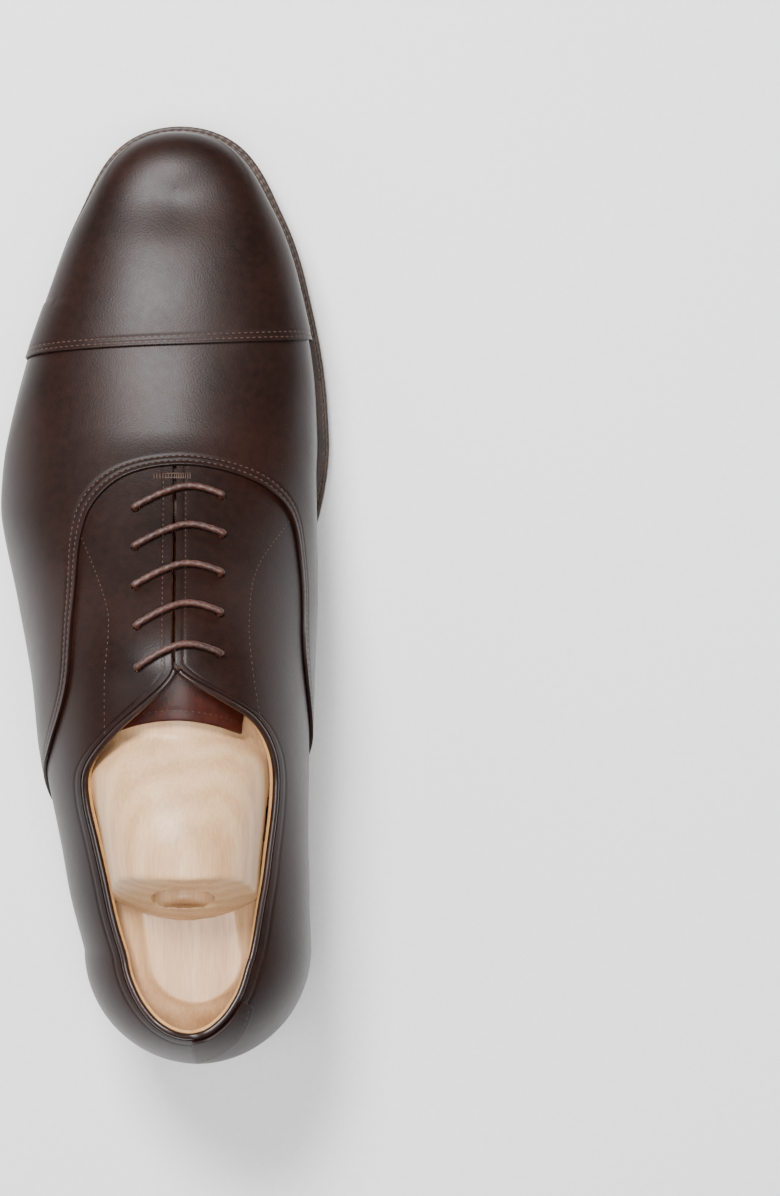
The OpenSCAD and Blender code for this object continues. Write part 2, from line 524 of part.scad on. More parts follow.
// Nails from the top piece up into the outsole
nail_low = 2;
nail_high = heel_height + outsole_t - 1.5;
module nail_set(d) {
    for (phi = [0:45:180])
        translate([along(heel_at, ridge_x) * wid_k + 22 * cos(phi), heel_at * len_k - 20 * sin(phi), nail_low])
            cylinder(h = nail_high - nail_low, d = d);
}
module heel_nails() {
    color([0.7, 0.68, 0.6]) nail_set(nail_d - 0.06);
}

// Tree: a front block under the instep and a sprung heel block behind it
tree_floor_gap = 0.4;
function tree_floor(y) = foot(y) + 2 * sole_gap + insole_t + sock_t + tree_floor_gap;
function tongue_zone(u, w) = ease((0.5 - abs(w)) / 0.1) * ease((56 - u) / 8)
    * ease((u - tongue_back + 14) / 12);
function tree_out(u, w) = lining_out(u, w) - lining_t - tree_gap
    - tongue_zone(u, w) * (tongue_depth + tongue_t - lap - lining_t + 0.2);
// The crest behind the tongue, as its drop from the tree's full height
crest_drop = [[-105, 0.5], [-88, 0], [-75, 2], [-60, 9], [-48, 17.5]];
crest_from = -48;
seat = heel_height + outsole_t + welt_t;
function crest_point(u) = [ridge_point(u)[0], u * len_k, seat + tree_height - along(u, crest_drop)];
function tree_skin(u, w) = let(p = skin(u, w, tree_out(u, w))) [p[0], p[1], max(p[2], tree_floor(place(u)))];
// Half of a section of the front block: up the wall, then over to the crest
top_inset = 0.6;
function dome_wall(u, w, s) = let(p = skin(u, w, tree_out(u, w) - top_inset * s * s))
    [p[0], p[1], max(p[2], tree_floor(place(u)))];
function dome(u, side) = let(wt = min(abs(top_w(u, side)) + 0.02, 0.6), a = dome_wall(u, side * wt, 1),
        b = dome_wall(u, side * (wt + 0.03), 1), c = crest_point(u), reach = norm(c - a),
        rise = unit(unit(a - b) + [0, 0, 1.4]))
    concat([for (j = [0:5]) dome_wall(u, side * mix(0.93, wt, j / 5), j / 5)],
        [for (s = [0.2, 0.4, 0.6, 0.8]) hermite(s, reach, a, rise * 1.2, c, [-side * 1.35, 0, 0])]);
function front_section(u) = u >= crest_from
    ? [for (k = [-10:10]) tree_skin(u, k / 10 * 0.93)]
    : concat(dome(u, -1), [crest_point(u)], backwards(dome(u, 1)));
rod_x = 10.5 * wid_k;
rod_z = seat + 22;
lip_at = -66;
tree_back = -105;
// Lean of the front block's rear face, in degrees, and its radius in plan
rear_lean = 25;
rear_round = 45;
tube_wall = 1.2;
tube_d = rod_d + 2 * (rod_clear + tube_wall);
tube_front = 4;
module tree_forepart() {
    plate_z = seat + tree_plate;
    color([0.88, 0.78, 0.62]) difference() {
        loft([for (u = concat(steps(tree_back - 2, -50, 11), steps(-47, 86, 21), steps(toe_at, tip_at, 9))) front_section(u)],
            0, 1);
        // Room for the heel block's nose under the lip
        translate([-100, -300 * len_k, 0]) cube([250, (lip_at + 300) * len_k, plate_z + 0.4]);
        // Rounded rear face, leaning forwards
        translate([rod_x, tree_back * len_k, plate_z]) rotate([-rear_lean, 0, 0]) difference() {
            translate([-100, -100, -50]) cube([200, 100 + rear_round, 150]);
            translate([0, rear_round, -60]) cylinder(h = 170, r = rear_round, $fn = 96);
        }
        // Finger hole
        translate([rod_x, (tree_back + 5) * len_k, plate_z + 14]) rotate([-80, 0, 0]) cylinder(h = 26, d = finger_d);
        // Seat of the guide tube
        translate([rod_x, lip_at * len_k - 1, rod_z]) rotate([-90, 0, 0])
            cylinder(h = (tube_front - lip_at) * len_k + 1, d = tube_d + 0.1);
    }
}
// Heel block: from its nose under the lip to the back, with a raised plate
nose_at = -80;
plate_half = 14.5;
plate_drop = 7;
function share_at_height(u, z) = let(y = place(u), zw = foot(y) + along(u, belly),
        zr = foot(y) + along(u, crown) * crown_k) asin(min(max((z - zw) / (zr - zw), 0.02), 0.99));
function heel_half(u, side) = let(z = seat + tree_plate - plate_drop,
        wb = (1 - low_part) * (1 - share_at_height(u, z) / 90), c = ridge_point(u), e = wide_point(u, side),
        q = c + unit(e - c) * plate_half * wid_k)
    concat([for (j = [0:5]) tree_skin(u, side * mix(0.93, wb, j / 5))],
        [concat(q + unit(e - c) * 1.2, seat + tree_plate - 1), concat(q, seat + tree_plate)]);
module tree_heel() {
    color([0.88, 0.78, 0.62]) difference() {
        loft([for (u = concat(steps(nose_at, heel_at, 8), steps(heel_at - 7.125, back_at, 7)))
            concat(heel_half(u, -1), backwards(heel_half(u, 1)))], 0, 1);
        translate([rod_x, (nose_at - 20) * len_k, rod_z]) rotate([-90, 0, 0]) cylinder(h = 30 * len_k, d = rod_d);
    }
}
rod_front = -36;
module tree_rod() {
    color([0.75, 0.76, 0.78]) translate([rod_x, (nose_at - 20) * len_k, rod_z]) rotate([-90, 0, 0])
        cylinder(h = (rod_front - nose_at + 20) * len_k, d = rod_d - 0.02);
}
module tree_guide_tube() {
    color([0.72, 0.62, 0.4]) translate([rod_x, lip_at * len_k, rod_z]) rotate([-90, 0, 0]) difference() {
        cylinder(h = (tube_front - lip_at) * len_k, d = tube_d);
        translate([0, 0, -1]) cylinder(h = (tube_front - lip_at) * len_k + 2, d = rod_d + 2 * rod_clear);
    }
}
// Spring between the rod's front end and the front of the tube
spring_turns = 7;
module tree_spring() {
    r = rod_d / 2 - spring_wire / 2 - 0.2;
    a = rod_front * len_k + spring_wire / 2 + 0.1;
    b = tube_front * len_k - spring_wire / 2 - 0.3;
    path = [for (i = [0:spring_turns * 10]) let(s = i / spring_turns / 10)
        [rod_x + r * cos(36 * i), mix(a, b, s), rod_z + r * sin(36 * i)]];
    color([0.7, 0.7, 0.72]) loft(tube_rings(path, spring_wire / 2, 6, [0.02, 1, 0.01]));
}

toe_cap();
vamp();
quarter_lateral();
quarter_medial();
back_tab();
tongue();
topline_binding();
bar_tack();
toe_puff();
heel_counter();
vamp_lining();
quarter_lining();
lace();
insole();
sock_lining();
cork_filler();
shank();
welt();
heel_rand();
outsole();
heel_lift_1();
heel_lift_2();
heel_lift_3();
heel_lift_4();
heel_top_piece();
heel_nails();
tree_forepart();
tree_heel();
tree_guide_tube();
tree_rod();
tree_spring();
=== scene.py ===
"""A left leather oxford on its wooden tree: the visible pieces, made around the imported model.

The toe points along +Y, the big-toe side is +X and up is +Z. Shapes are worked out in millimetres on
the last's own surface, and put into the scene in metres.
"""

import logging
import math
from collections.abc import Callable, Iterable, Sequence
from dataclasses import dataclass, field
from enum import Enum

import bpy
import numpy as np
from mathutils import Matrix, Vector


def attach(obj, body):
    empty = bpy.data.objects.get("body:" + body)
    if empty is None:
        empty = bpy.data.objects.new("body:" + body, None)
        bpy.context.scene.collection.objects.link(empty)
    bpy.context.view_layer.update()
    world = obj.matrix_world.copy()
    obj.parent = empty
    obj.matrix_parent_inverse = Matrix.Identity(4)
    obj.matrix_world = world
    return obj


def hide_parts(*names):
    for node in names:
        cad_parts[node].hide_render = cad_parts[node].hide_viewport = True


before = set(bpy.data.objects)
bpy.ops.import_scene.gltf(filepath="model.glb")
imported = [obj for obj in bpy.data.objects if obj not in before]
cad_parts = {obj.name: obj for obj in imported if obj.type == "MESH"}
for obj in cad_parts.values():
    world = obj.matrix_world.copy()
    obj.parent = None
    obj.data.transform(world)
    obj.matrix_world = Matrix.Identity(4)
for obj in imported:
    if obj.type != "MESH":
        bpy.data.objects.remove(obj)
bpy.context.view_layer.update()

MM = 0.001
FORWARDS = np.array([0, 1.0, 0])
SHOE = "shoe"
BLOCK = "tree_heel_block"
Array = np.ndarray
Points = Sequence[Sequence[float]]
log = logging.getLogger("oxford")


class Side(Enum):
    """Which side of the slit a piece lies on."""

    LATERAL = -1
    MEDIAL = 1


# --- numbers and curves ---------------------------------------------------------------------------


def hermite(s: Array, d: Array, p: Array, m: Array, q: Array, n: Array) -> Array:
    """Cubic from p to q with end slopes m and n.

    Args:
        s: share of the way, 0 to 1.
        d: length of the step that the slopes are given for.
        p: value at the start.
        m: slope at the start.
        q: value at the end.
        n: slope at the end.

    Returns:
        The value at s.
    """
    return (p * (2 * s**3 - 3 * s * s + 1) + d * m * (s**3 - 2 * s * s + s)
            + q * (3 * s * s - 2 * s**3) + d * n * (s**3 - s * s))


def ease(s: Array) -> Array:
    """Smooth step of s from 0 to 1."""
    c = np.clip(s, 0, 1)
    return c * c * (3 - 2 * c)


def mix(a: Array, b: Array, s: Array) -> Array:
    """Straight blend of a and b at share s."""
    return a + (b - a) * s


def unit(v: Array) -> Array:
    """Vectors v at length 1."""
    return v / np.maximum(np.linalg.norm(v, axis=-1, keepdims=True), 1e-9)


def steps(a: float, b: float, n: int) -> Array:
    """n + 1 even values from a to b."""
    return np.linspace(a, b, n + 1)


class Curve:
    """Smooth curve through rows of (place, value)."""

    def __init__(self, *rows: tuple[float, float]) -> None:
        """Keep the rows and their slopes.

        Args:
            rows: places in rising order, each with its value.
        """
        self.x = np.array([r[0] for r in rows], float)
        self.y = np.array([r[1] for r in rows], float)
        self.last = len(rows) - 1
        k = np.arange(self.last + 1)
        a, b = np.maximum(k - 1, 0), np.minimum(k + 1, self.last)
        self.slope = (self.y[b] - self.y[a]) / (self.x[b] - self.x[a])

    def __call__(self, t: Array) -> Array:
        """Value at place t, held at both ends."""
        t = np.clip(t, self.x[0], self.x[-1])
        i = np.clip(np.searchsorted(self.x, t, side="right") - 1, 0, self.last - 1)
        d = self.x[i + 1] - self.x[i]
        return hermite((t - self.x[i]) / d, d, self.y[i], self.slope[i], self.y[i + 1], self.slope[i + 1])


def walk(points: Points, t: Array) -> Array:
    """Points read at fractional index t, straight between them."""
    p = np.array(points, float)
    i = np.minimum(np.floor(t).astype(int), len(p) - 2)
    return mix(p[i], p[i + 1], (t - i)[..., None])


def sweep(points: Points, t: Array) -> Array:
    """Points read at fractional index t, along a smooth curve."""
    p = np.array(points, float)
    n = len(p) - 1
    i = np.minimum(np.floor(t).astype(int), n - 1)
    s = (t - i)[..., None]
    m = (p[np.minimum(i + 1, n)] - p[np.maximum(i - 1, 0)]) / 2
    k = (p[np.minimum(i + 2, n)] - p[i]) / 2
    return hermite(s, 1.0, p[i], m, p[i + 1], k)


def smooth_path(points: Array, step: float) -> Array:
    """Points along a smooth curve through the given ones, evenly spaced.

    Args:
        points: the route, in millimetres.
        step: distance between two points of the result.

    Returns:
        The new points.
    """
    fine = sweep(points, steps(0, len(points) - 1, 24 * (len(points) - 1)))
    return even(fine, step)[0]


def even(points: Array, step: float) -> tuple[Array, Array]:
    """Points of a polyline at even distances.

    Args:
        points: the polyline.
        step: wanted distance.

    Returns:
        The new points, and their places as fractional indices of the old ones.
    """
    run = np.concatenate([[0], np.cumsum(np.linalg.norm(np.diff(points, axis=0), axis=1))])
    n = max(int(round(run[-1] / step)), 1)
    at = np.interp(np.linspace(0, run[-1], n + 1), run, np.arange(len(points)))
    return walk(points, at), at


# --- the last -------------------------------------------------------------------------------------


@dataclass(frozen=True)
class Sizes:
    """Sizes of the shoe, in millimetres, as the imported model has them."""

    leather: float = 1.3
    lining: float = 1.0
    stiffener: float = 1.4
    tongue: float = 1.8
    gap: float = 0.4
    slit: float = 1.2
    binding: float = 2.8
    outsole: float = 5.0
    welt: float = 2.8
    welt_width: float = 9.0
    insole: float = 3.0
    sock: float = 0.8
    heel: float = 24.0
    top_piece: float = 6.0
    taper: float = 2.0
    nail: float = 1.8
    lace: float = 2.1
    hole: float = 4.4
    pitch: float = 12.4
    tree_gap: float = 1.0
    crest: float = 76.0
    plate: float = 42.0
    finger: float = 19.0
    rod: float = 8.0

    @property
    def lap(self) -> float:
        """How far one leather stands over another."""
        return self.leather + self.gap


class Last:
    """The surface that the upper is formed on.

    A station u runs from the back of the heel (-173) through the drawn length to the tip (152.5); w runs
    from -1 at the lateral foot over the ridge at 0 to 1 at the medial foot.
    """

    toe_at, toe_reach, ridge_end = 92.5, 60.0, 128.0
    heel_at, back_at = -116.0, -173.0
    tip_at = 152.5
    low_part, low_turn = 0.2, 65.0
    foot_gap, sole_gap = 0.35, 0.1
    ridge_x = Curve((-116, 13.5), (-97, 10.8), (-64, 9.5), (-20, 8.1), (36, 6.3), (92, 5.4), (153, 5.4))
    sole_lat = Curve((-116, 36.3), (-96, 37), (-83, 38.3), (-56, 42.6), (-30, 48.4), (-4, 55.5), (22, 60.2),
                     (36, 60.4), (49, 58.7), (75, 51.8), (102, 42.8), (115, 38.3), (128, 33.9), (140, 32.4),
                     (153, 33))
    sole_med = Curve((-116, 35), (-96, 36), (-83, 35.2), (-56, 32.2), (-30, 31.1), (-4, 34.5), (22, 43.8),
                     (36, 47.2), (49, 48.4), (75, 46.7), (102, 41.4), (115, 37.9), (128, 33.9), (140, 32.4),
                     (153, 33))
    upper_lat = Curve((-116, 37.1), (-96, 39.4), (-83, 41), (-56, 45.6), (-30, 49.1), (-4, 53.7), (22, 58.6),
                      (36, 58.3), (49, 56.4), (75, 49.2), (102, 39.9), (115, 35.1), (128, 30.9), (140, 29.4),
                      (153, 30))
    upper_med = Curve((-116, 35.8), (-96, 38), (-83, 38.3), (-56, 39.3), (-30, 40.8), (-4, 43), (22, 43.6),
                      (36, 43.9), (49, 44.6), (75, 43.4), (102, 38.3), (115, 34.9), (128, 30.9), (140, 29.4),
                      (153, 30))
    reveal = Curve((-173, 1.2), (-60, 1.2), (-10, 2), (30, 3.4), (153, 3.4))
    belly = Curve((-173, 14.2), (-116, 13.2), (-56, 14), (-20, 20), (20, 22), (50, 18.2), (92, 17),
                  (153, 10.2))
    crown = Curve((-173, 72.9), (-144, 62.2), (-116, 56.2), (-97, 56.2), (-64, 62.5), (-45, 71),
                  (-20, 79.5), (10, 68.8), (36, 54.2), (50, 47.7), (75, 42.2), (92, 38.7), (110, 33.5),
                  (128, 26.5), (153, 26.5))
    fullness = Curve((-173, 1), (-64, 1), (-20, 1.04), (20, 1.06), (50, 0.98), (92, 0.9), (153, 0.88))
    top_lat = Curve((-173, 0.67), (-164, 0.675), (-154, 0.655), (-145, 0.628), (-133, 0.608), (-120, 0.618),
                    (-108, 0.645), (-94, 0.66), (-80, 0.69), (-66, 0.71), (-56, 0.66), (-44, 0.43),
                    (-34, 0.18), (-28, 0.05), (-24, 0))
    top_med = Curve((-173, 0.67), (-166, 0.652), (-157, 0.605), (-142, 0.54), (-121, 0.515),
                    (-108, 0.6), (-98, 0.66),
                    (-87, 0.715), (-64, 0.785), (-51, 0.757), (-40, 0.61), (-33, 0.36), (-27, 0.12), (-23, 0))

    def __init__(self, sizes: Sizes) -> None:
        """Take the sizes of the shoe that stands on the last."""
        self.s = sizes

    def under(self, y: Array) -> Array:
        """Height of the outsole's underside at place y."""
        return self.s.heel * ease((25 - y) / 97) + 9 * (np.maximum(y - 50, 0) / 102.5) ** 2

    def tread(self, y: Array) -> Array:
        """Height of the outsole's top at place y."""
        return self.under(y) + self.s.outsole

    def foot(self, y: Array) -> Array:
        """Height of the welt's top at place y."""
        return self.tread(y) + self.s.welt

    def ridge(self, y: Array) -> Array:
        """Height of the ridge line at place y."""
        return self.foot(y) + self.crown(y)

    def turn(self, u: Array) -> Array:
        """Turn round the heel at station u, in radians."""
        return np.radians(90 * np.maximum(self.heel_at - u, 0) / (self.heel_at - self.back_at))

    def toe_turn(self, u: Array) -> Array:
        """Turn round the toe at station u, in radians."""
        return np.radians(90 * np.minimum(np.maximum(u - self.toe_at, 0) / self.toe_reach, 1) ** 2)

    def place(self, u: Array) -> Array:
        """Drawn place of station u along the shoe."""
        u = np.asarray(u, float)
        return np.where(u < self.heel_at, self.heel_at - 36 * np.sin(self.turn(u)),
                        np.where(u > self.toe_at,
                                 self.toe_at + self.toe_reach * np.sqrt(np.sin(self.toe_turn(u))), u))

    def plan(self, u: Array, side: Array, lat: Curve, med: Curve, inset: Array, back: float) -> Array:
        """Plan point of a line given by its half widths.

        Args:
            u: station.
            side: -1 for the lateral half, 1 for the medial one.
            lat: half widths of the lateral half.
            med: half widths of the medial half.
            inset: how far the line is drawn in.
            back: reach of the line behind the heel's centre.

        Returns:
            Points (x, y).
        """
        u, side, inset = np.broadcast_arrays(np.asarray(u, float), side, inset)
        psi, phi = self.toe_turn(u), self.turn(u)
        y = np.where(u > self.toe_at, self.toe_at + (self.toe_reach - inset) * np.sqrt(np.sin(psi)),
                     np.maximum(u, self.heel_at))
        half = np.where(side < 0, lat(y), med(y))
        sin2 = np.sin(phi) ** 2
        r = np.where(u < self.heel_at, half * (1 - sin2) + back * sin2, half) - inset
        x = self.ridge_x(y) + side * r * np.cos(psi) * np.cos(phi)
        return np.stack([x, np.where(u < self.heel_at, self.heel_at - r * np.sin(phi), y)], -1)

    def sole_point(self, u: Array, side: Array, inset: Array = 0.0) -> Array:
        """Point of the sole's edge, drawn in by inset."""
        return self.plan(u, side, self.sole_lat, self.sole_med, inset, 35)

    def wide_point(self, u: Array, side: Array) -> Array:
        """Point of the upper's widest line."""
        u = np.asarray(u, float)
        toe = self.plan(u, side, self.sole_lat, self.sole_med, 3.1, 36.5)
        return np.where((u > self.toe_at)[..., None], toe,
                        self.plan(u, side, self.upper_lat, self.upper_med, 0.0, 36.5))

    def ridge_y(self, u: Array) -> Array:
        """Place on the ridge line that the rib of station u climbs to."""
        u = np.asarray(u, float)
        s = np.clip((u - self.toe_at) / self.toe_reach, 0, 1)
        return np.where(u > self.toe_at, self.toe_at + (self.ridge_end - self.toe_at) * (1 - (1 - s) ** 2.1),
                        np.maximum(u, self.heel_at))

    def ridge_point(self, u: Array) -> Array:
        """Plan point of the ridge for station u."""
        y = self.ridge_y(u)
        return np.stack([self.ridge_x(y), y], -1)

    def shape(self, u: Array, w: Array) -> Array:
        """Point of the upper's outer surface."""
        u, w = np.broadcast_arrays(np.asarray(u, float), np.asarray(w, float))
        side, v = np.where(w < 0, -1.0, 1.0), 1 - np.abs(w)
        wide, y, top = self.wide_point(u, side), self.place(u), self.ridge_point(u)
        z_foot, z_wide = self.foot(y) + self.foot_gap, self.foot(y) + self.belly(u)
        a = np.radians(self.low_turn * np.clip(1 - v / self.low_part, 0, 1))
        full = math.radians(self.low_turn)
        feet = self.sole_point(u, side, self.reveal(u))
        low = wide + (feet - wide) * ((1 - np.cos(a)) / (1 - math.cos(full)))[..., None]
        low_z = z_wide - (z_wide - z_foot) * np.sin(a) / math.sin(full)
        b = np.radians(90 * np.clip((v - self.low_part) / (1 - self.low_part), 0, 1))
        e, ty = self.fullness(u), self.ridge_y(u)
        z_top = np.where(u < self.heel_at, self.foot(y) + self.crown(u), self.ridge(ty))
        f = np.maximum(np.cos(b), 0) ** e
        high = top + (wide - top) * f[..., None]
        tilt = np.where(u > self.toe_at, (self.ridge(ty + 0.5) - self.ridge(ty - 0.5))
                        * (high[..., 1] - top[..., 1]) * (1 - f) ** 2, 0)
        high_z = z_wide + (z_top - z_wide) * np.maximum(np.sin(b), 0) ** e + tilt
        is_low = v < self.low_part
        return np.concatenate([np.where(is_low[..., None], low, high),
                               np.where(is_low, low_z, high_z)[..., None]], -1)

    def normal(self, u: Array, w: Array) -> Array:
        """Outward direction of the surface."""
        u, w = np.broadcast_arrays(np.asarray(u, float), np.asarray(w, float))
        side = np.where(w < 0, -1.0, 1.0)
        at_end = (u > self.tip_at - 0.3) | (u < self.back_at + 0.3)
        tu = np.where(at_end[..., None], np.array([1.0, 0, 0]),
                      self.shape(u + 0.25, w) - self.shape(u - 0.25, w))
        here = self.shape(u, w)
        middle = self.shape(u, w + 0.003) - self.shape(u, w - 0.003)
        edge = self.shape(u, w - 0.003 * side) - here
        tw = np.where((np.abs(w) > 0.99)[..., None], edge, middle)
        n = unit(np.cross(tu, tw))
        hub = np.concatenate([self.ridge_point(u), (self.foot(self.place(u)) + 10)[..., None]], -1)
        return np.where(((n * (here - hub)).sum(-1) < 0)[..., None], -n, n)

    def skin(self, u: Array, w: Array, off: Array) -> Array:
        """Point off the surface, kept above the welt."""
        u, w, off = np.broadcast_arrays(np.asarray(u, float), np.asarray(w, float), np.asarray(off, float))
        p = self.shape(u, w) + off[..., None] * self.normal(u, w)
        p[..., 2] = np.maximum(p[..., 2], self.foot(self.place(u)) + self.foot_gap)
        return p

    def w_of(self, u: Array, side: Array, share: Array) -> Array:
        """Value of w at a share of the half width."""
        turn = np.degrees(np.arccos(np.minimum(np.maximum(share, 0) ** (1 / self.fullness(u)), 1)))
        return side * (1 - self.low_part) * (1 - turn / 90)

    def half_width(self, u: Array, side: Array) -> Array:
        """Half width of the upper in plan."""
        return np.linalg.norm(self.wide_point(u, side) - self.ridge_point(u), axis=-1)

    def w_at(self, u: Array, side: Array, distance: Array) -> Array:
        """Value of w at a plan distance from the ridge."""
        return self.w_of(u, side, distance / self.half_width(u, side))

    def top_w(self, u: Array, side: Array) -> Array:
        """Value of w on the upper's top edge: the slit's side, then the topline."""
        u, side = np.broadcast_arrays(np.asarray(u, float), np.asarray(side, float))
        share = np.where(side < 0, self.top_lat(u), self.top_med(u))
        return self.w_of(u, side, np.maximum(share, self.s.slit / 2 / self.half_width(u, side)))


SIZES = Sizes()
LAST = Last(SIZES)

# --- finishes -------------------------------------------------------------------------------------

Colour = tuple[float, float, float]


def linear(r: int, g: int, b: int) -> Colour:
    """Scene-linear colour of a screen colour given as three values up to 255."""
    return tuple(((c / 255 + 0.055) / 1.055) ** 2.4 if c > 10 else c / 255 / 12.92 for c in (r, g, b))


class Tree:
    """Node tree of one finish, with short ways to add and join nodes."""

    def __init__(self, name: str) -> None:
        """Start a material with its shader and the object's own coordinates."""
        self.mat = bpy.data.materials.new(name)
        self.mat.use_nodes = True
        self.nt = self.mat.node_tree
        self.bsdf = self.nt.nodes["Principled BSDF"]
        self.coord = self.nt.nodes.new("ShaderNodeTexCoord").outputs["Object"]

    def node(self, kind: str, settings: dict | None = None, **inputs) -> bpy.types.Node:
        """Add a node.

        Args:
            kind: name of the node's type, without its first part.
            settings: the node's own properties.
            inputs: values or outputs for its sockets, with _ for a space.

        Returns:
            The node.
        """
        n = self.nt.nodes.new("ShaderNode" + kind)
        for k, v in (settings or {}).items():
            setattr(n, k, v)
        for k, v in inputs.items():
            key = int(k[1:]) if k[0] == "i" and k[1:].isdigit() else k.replace("_", " ")
            if isinstance(v, bpy.types.NodeSocket):
                self.nt.links.new(v, n.inputs[key])
            else:
                n.inputs[key].default_value = v
        return n

    def place(self, stretch: Sequence[float], turn: Sequence[float] = (0, 0, 0)) -> bpy.types.NodeSocket:
        """Object coordinates, stretched and turned for a pattern."""
        return self.node("Mapping", Vector=self.coord, Scale=tuple(stretch), Rotation=tuple(turn)).outputs[0]

    def noise(self, size_mm: float, detail: float = 2.0, vector: bpy.types.NodeSocket | None = None,
              rough: float = 0.5) -> bpy.types.NodeSocket:
        """Soft noise whose patches are about size_mm across."""
        return self.node("TexNoise", Vector=vector or self.coord, Scale=1000 / size_mm, Detail=detail,
                         Roughness=rough).outputs["Fac"]

    def cells(self, size_mm: float, feature: str = "F1") -> bpy.types.NodeSocket:
        """Cell pattern whose cells are about size_mm across."""
        return self.node("TexVoronoi", {"feature": feature}, Vector=self.coord,
                         Scale=1000 / size_mm).outputs["Distance"]

    def ramp(self, fac: bpy.types.NodeSocket, *stops: tuple[float, Colour]) -> bpy.types.NodeSocket:
        """Colours laid along a value."""
        n = self.node("ValToRGB", Fac=fac)
        e = n.color_ramp.elements
        while len(e) < len(stops):
            e.new(0.5)
        for i, (at, c) in enumerate(stops):
            e[i].position = at
            e[i].color = (*c, 1)
        return n.outputs["Color"]

    def math(self, how: str, a: bpy.types.NodeSocket | float, b: bpy.types.NodeSocket | float
             ) -> bpy.types.NodeSocket:
        """One sum of two values."""
        return self.node("Math", {"operation": how}, i0=a, i1=b).outputs[0]

    def spread(self, fac: bpy.types.NodeSocket, low: float, high: float) -> bpy.types.NodeSocket:
        """A value from 0 to 1 laid from low to high."""
        return self.node("MapRange", Value=fac, To_Min=low, To_Max=high).outputs[0]

    def bump(self, height: bpy.types.NodeSocket, depth_mm: float, strength: float = 1.0,
             below: bpy.types.NodeSocket | None = None) -> bpy.types.NodeSocket:
        """Relief of a given depth, laid over an earlier one."""
        extra = {"Normal": below} if below else {}
        return self.node("Bump", Height=height, Distance=depth_mm * MM, Strength=strength, **extra).outputs[0]

    def finish(self, colour: bpy.types.NodeSocket, rough: bpy.types.NodeSocket, normal: bpy.types.NodeSocket,
               **constants: float) -> bpy.types.Material:
        """Join colour, roughness and relief to the shader, and set its constant sockets."""
        for value, socket in ((colour, "Base Color"), (rough, "Roughness"), (normal, "Normal")):
            self.nt.links.new(value, self.bsdf.inputs[socket])
        for k, v in constants.items():
            self.bsdf.inputs[k.replace("_", " ")].default_value = v
        return self.mat


@dataclass(frozen=True)
class Leather:
    """Dressed leather: patches of colour, a fine pebble grain and a soft polish."""

    name: str
    slot: str
    dark: Colour
    light: Colour
    rough: float = 0.42
    grain_mm: float = 0.55
    grain_depth: float = 0.035
    coat: float = 0.05
    gloss: float = 0.2

    def material(self) -> bpy.types.Material:
        """Build the finish."""
        t = Tree(self.name)
        patch = t.noise(38, 3)
        fine = t.noise(2.6, 4)
        tone = t.math("ADD", t.math("MULTIPLY", patch, 0.65), t.math("MULTIPLY", fine, 0.35))
        colour = t.ramp(tone, (0.36, linear(*self.dark)), (0.64, linear(*self.light)))
        rough = t.spread(t.math("ADD", t.math("MULTIPLY", patch, 0.6), t.math("MULTIPLY", fine, 0.4)),
                         self.rough - 0.1, self.rough + 0.12)
        broad = t.bump(t.noise(14, 2), 0.09)
        pore = t.bump(t.cells(self.grain_mm, "SMOOTH_F1"), self.grain_depth, 0.9, broad)
        normal = t.bump(t.noise(self.grain_mm * 0.7, 3), self.grain_depth * 0.8, 0.8, pore)
        return t.finish(colour, rough, normal, Coat_Weight=self.coat, Coat_Roughness=0.3,
                        Specular_IOR_Level=self.gloss)


@dataclass(frozen=True)
class Wood:
    """Waxed light wood with its grain along the shoe."""

    name: str
    slot: str
    dark: Colour
    mid: Colour
    light: Colour

    def material(self) -> bpy.types.Material:
        """Build the finish."""
        t = Tree(self.name)
        along = t.place((1, 0.09, 1), (0.03, 0.02, 0.05))
        warp = t.noise(16, 2, t.place((1, 0.16, 1)))
        rings = t.node("TexWave", {"wave_type": "RINGS", "rings_direction": "Y", "wave_profile": "SIN"},
                       Vector=t.place((1, 0.05, 0.8), (0.04, 0, 0.02)), Scale=70.0, Distortion=5.0,
                       Detail=2.0, Detail_Scale=1.6).outputs["Fac"]
        fibre = t.noise(0.7, 4, along, 0.6)
        tone = t.math("ADD", t.math("MULTIPLY", rings, 0.14),
                      t.math("ADD", t.math("MULTIPLY", fibre, 0.5), t.math("MULTIPLY", warp, 0.36)))
        colour = t.ramp(tone, (0.25, linear(*self.dark)), (0.5, linear(*self.mid)),
                        (0.72, linear(*self.light)))
        normal = t.bump(fibre, 0.05, 0.6)
        return t.finish(colour, t.spread(fibre, 0.5, 0.38), normal, Coat_Weight=0.08, Coat_Roughness=0.35)


@dataclass(frozen=True)
class Plain:
    """An even finish with some variation in tone and a fine relief, for edges, boards, rubber and metal."""

    name: str
    slot: str
    dark: Colour
    light: Colour
    rough: float = 0.5
    patch_mm: float = 12.0
    grain_mm: float = 0.8
    depth: float = 0.04
    metal: float = 0.0
    coat: float = 0.0
    stretch: tuple[float, float, float] = (1, 1, 1)

    def material(self) -> bpy.types.Material:
        """Build the finish."""
        t = Tree(self.name)
        where = t.place(self.stretch)
        patch = t.noise(self.patch_mm, 3, where)
        grain = t.noise(self.grain_mm, 4, where)
        tone = t.math("ADD", t.math("MULTIPLY", patch, 0.55), t.math("MULTIPLY", grain, 0.45))
        colour = t.ramp(tone, (0.35, linear(*self.dark)), (0.66, linear(*self.light)))
        return t.finish(colour, t.spread(tone, self.rough - 0.08, self.rough + 0.1),
                        t.bump(grain, self.depth, 0.8), Metallic=self.metal, Coat_Weight=self.coat,
                        Coat_Roughness=0.2)


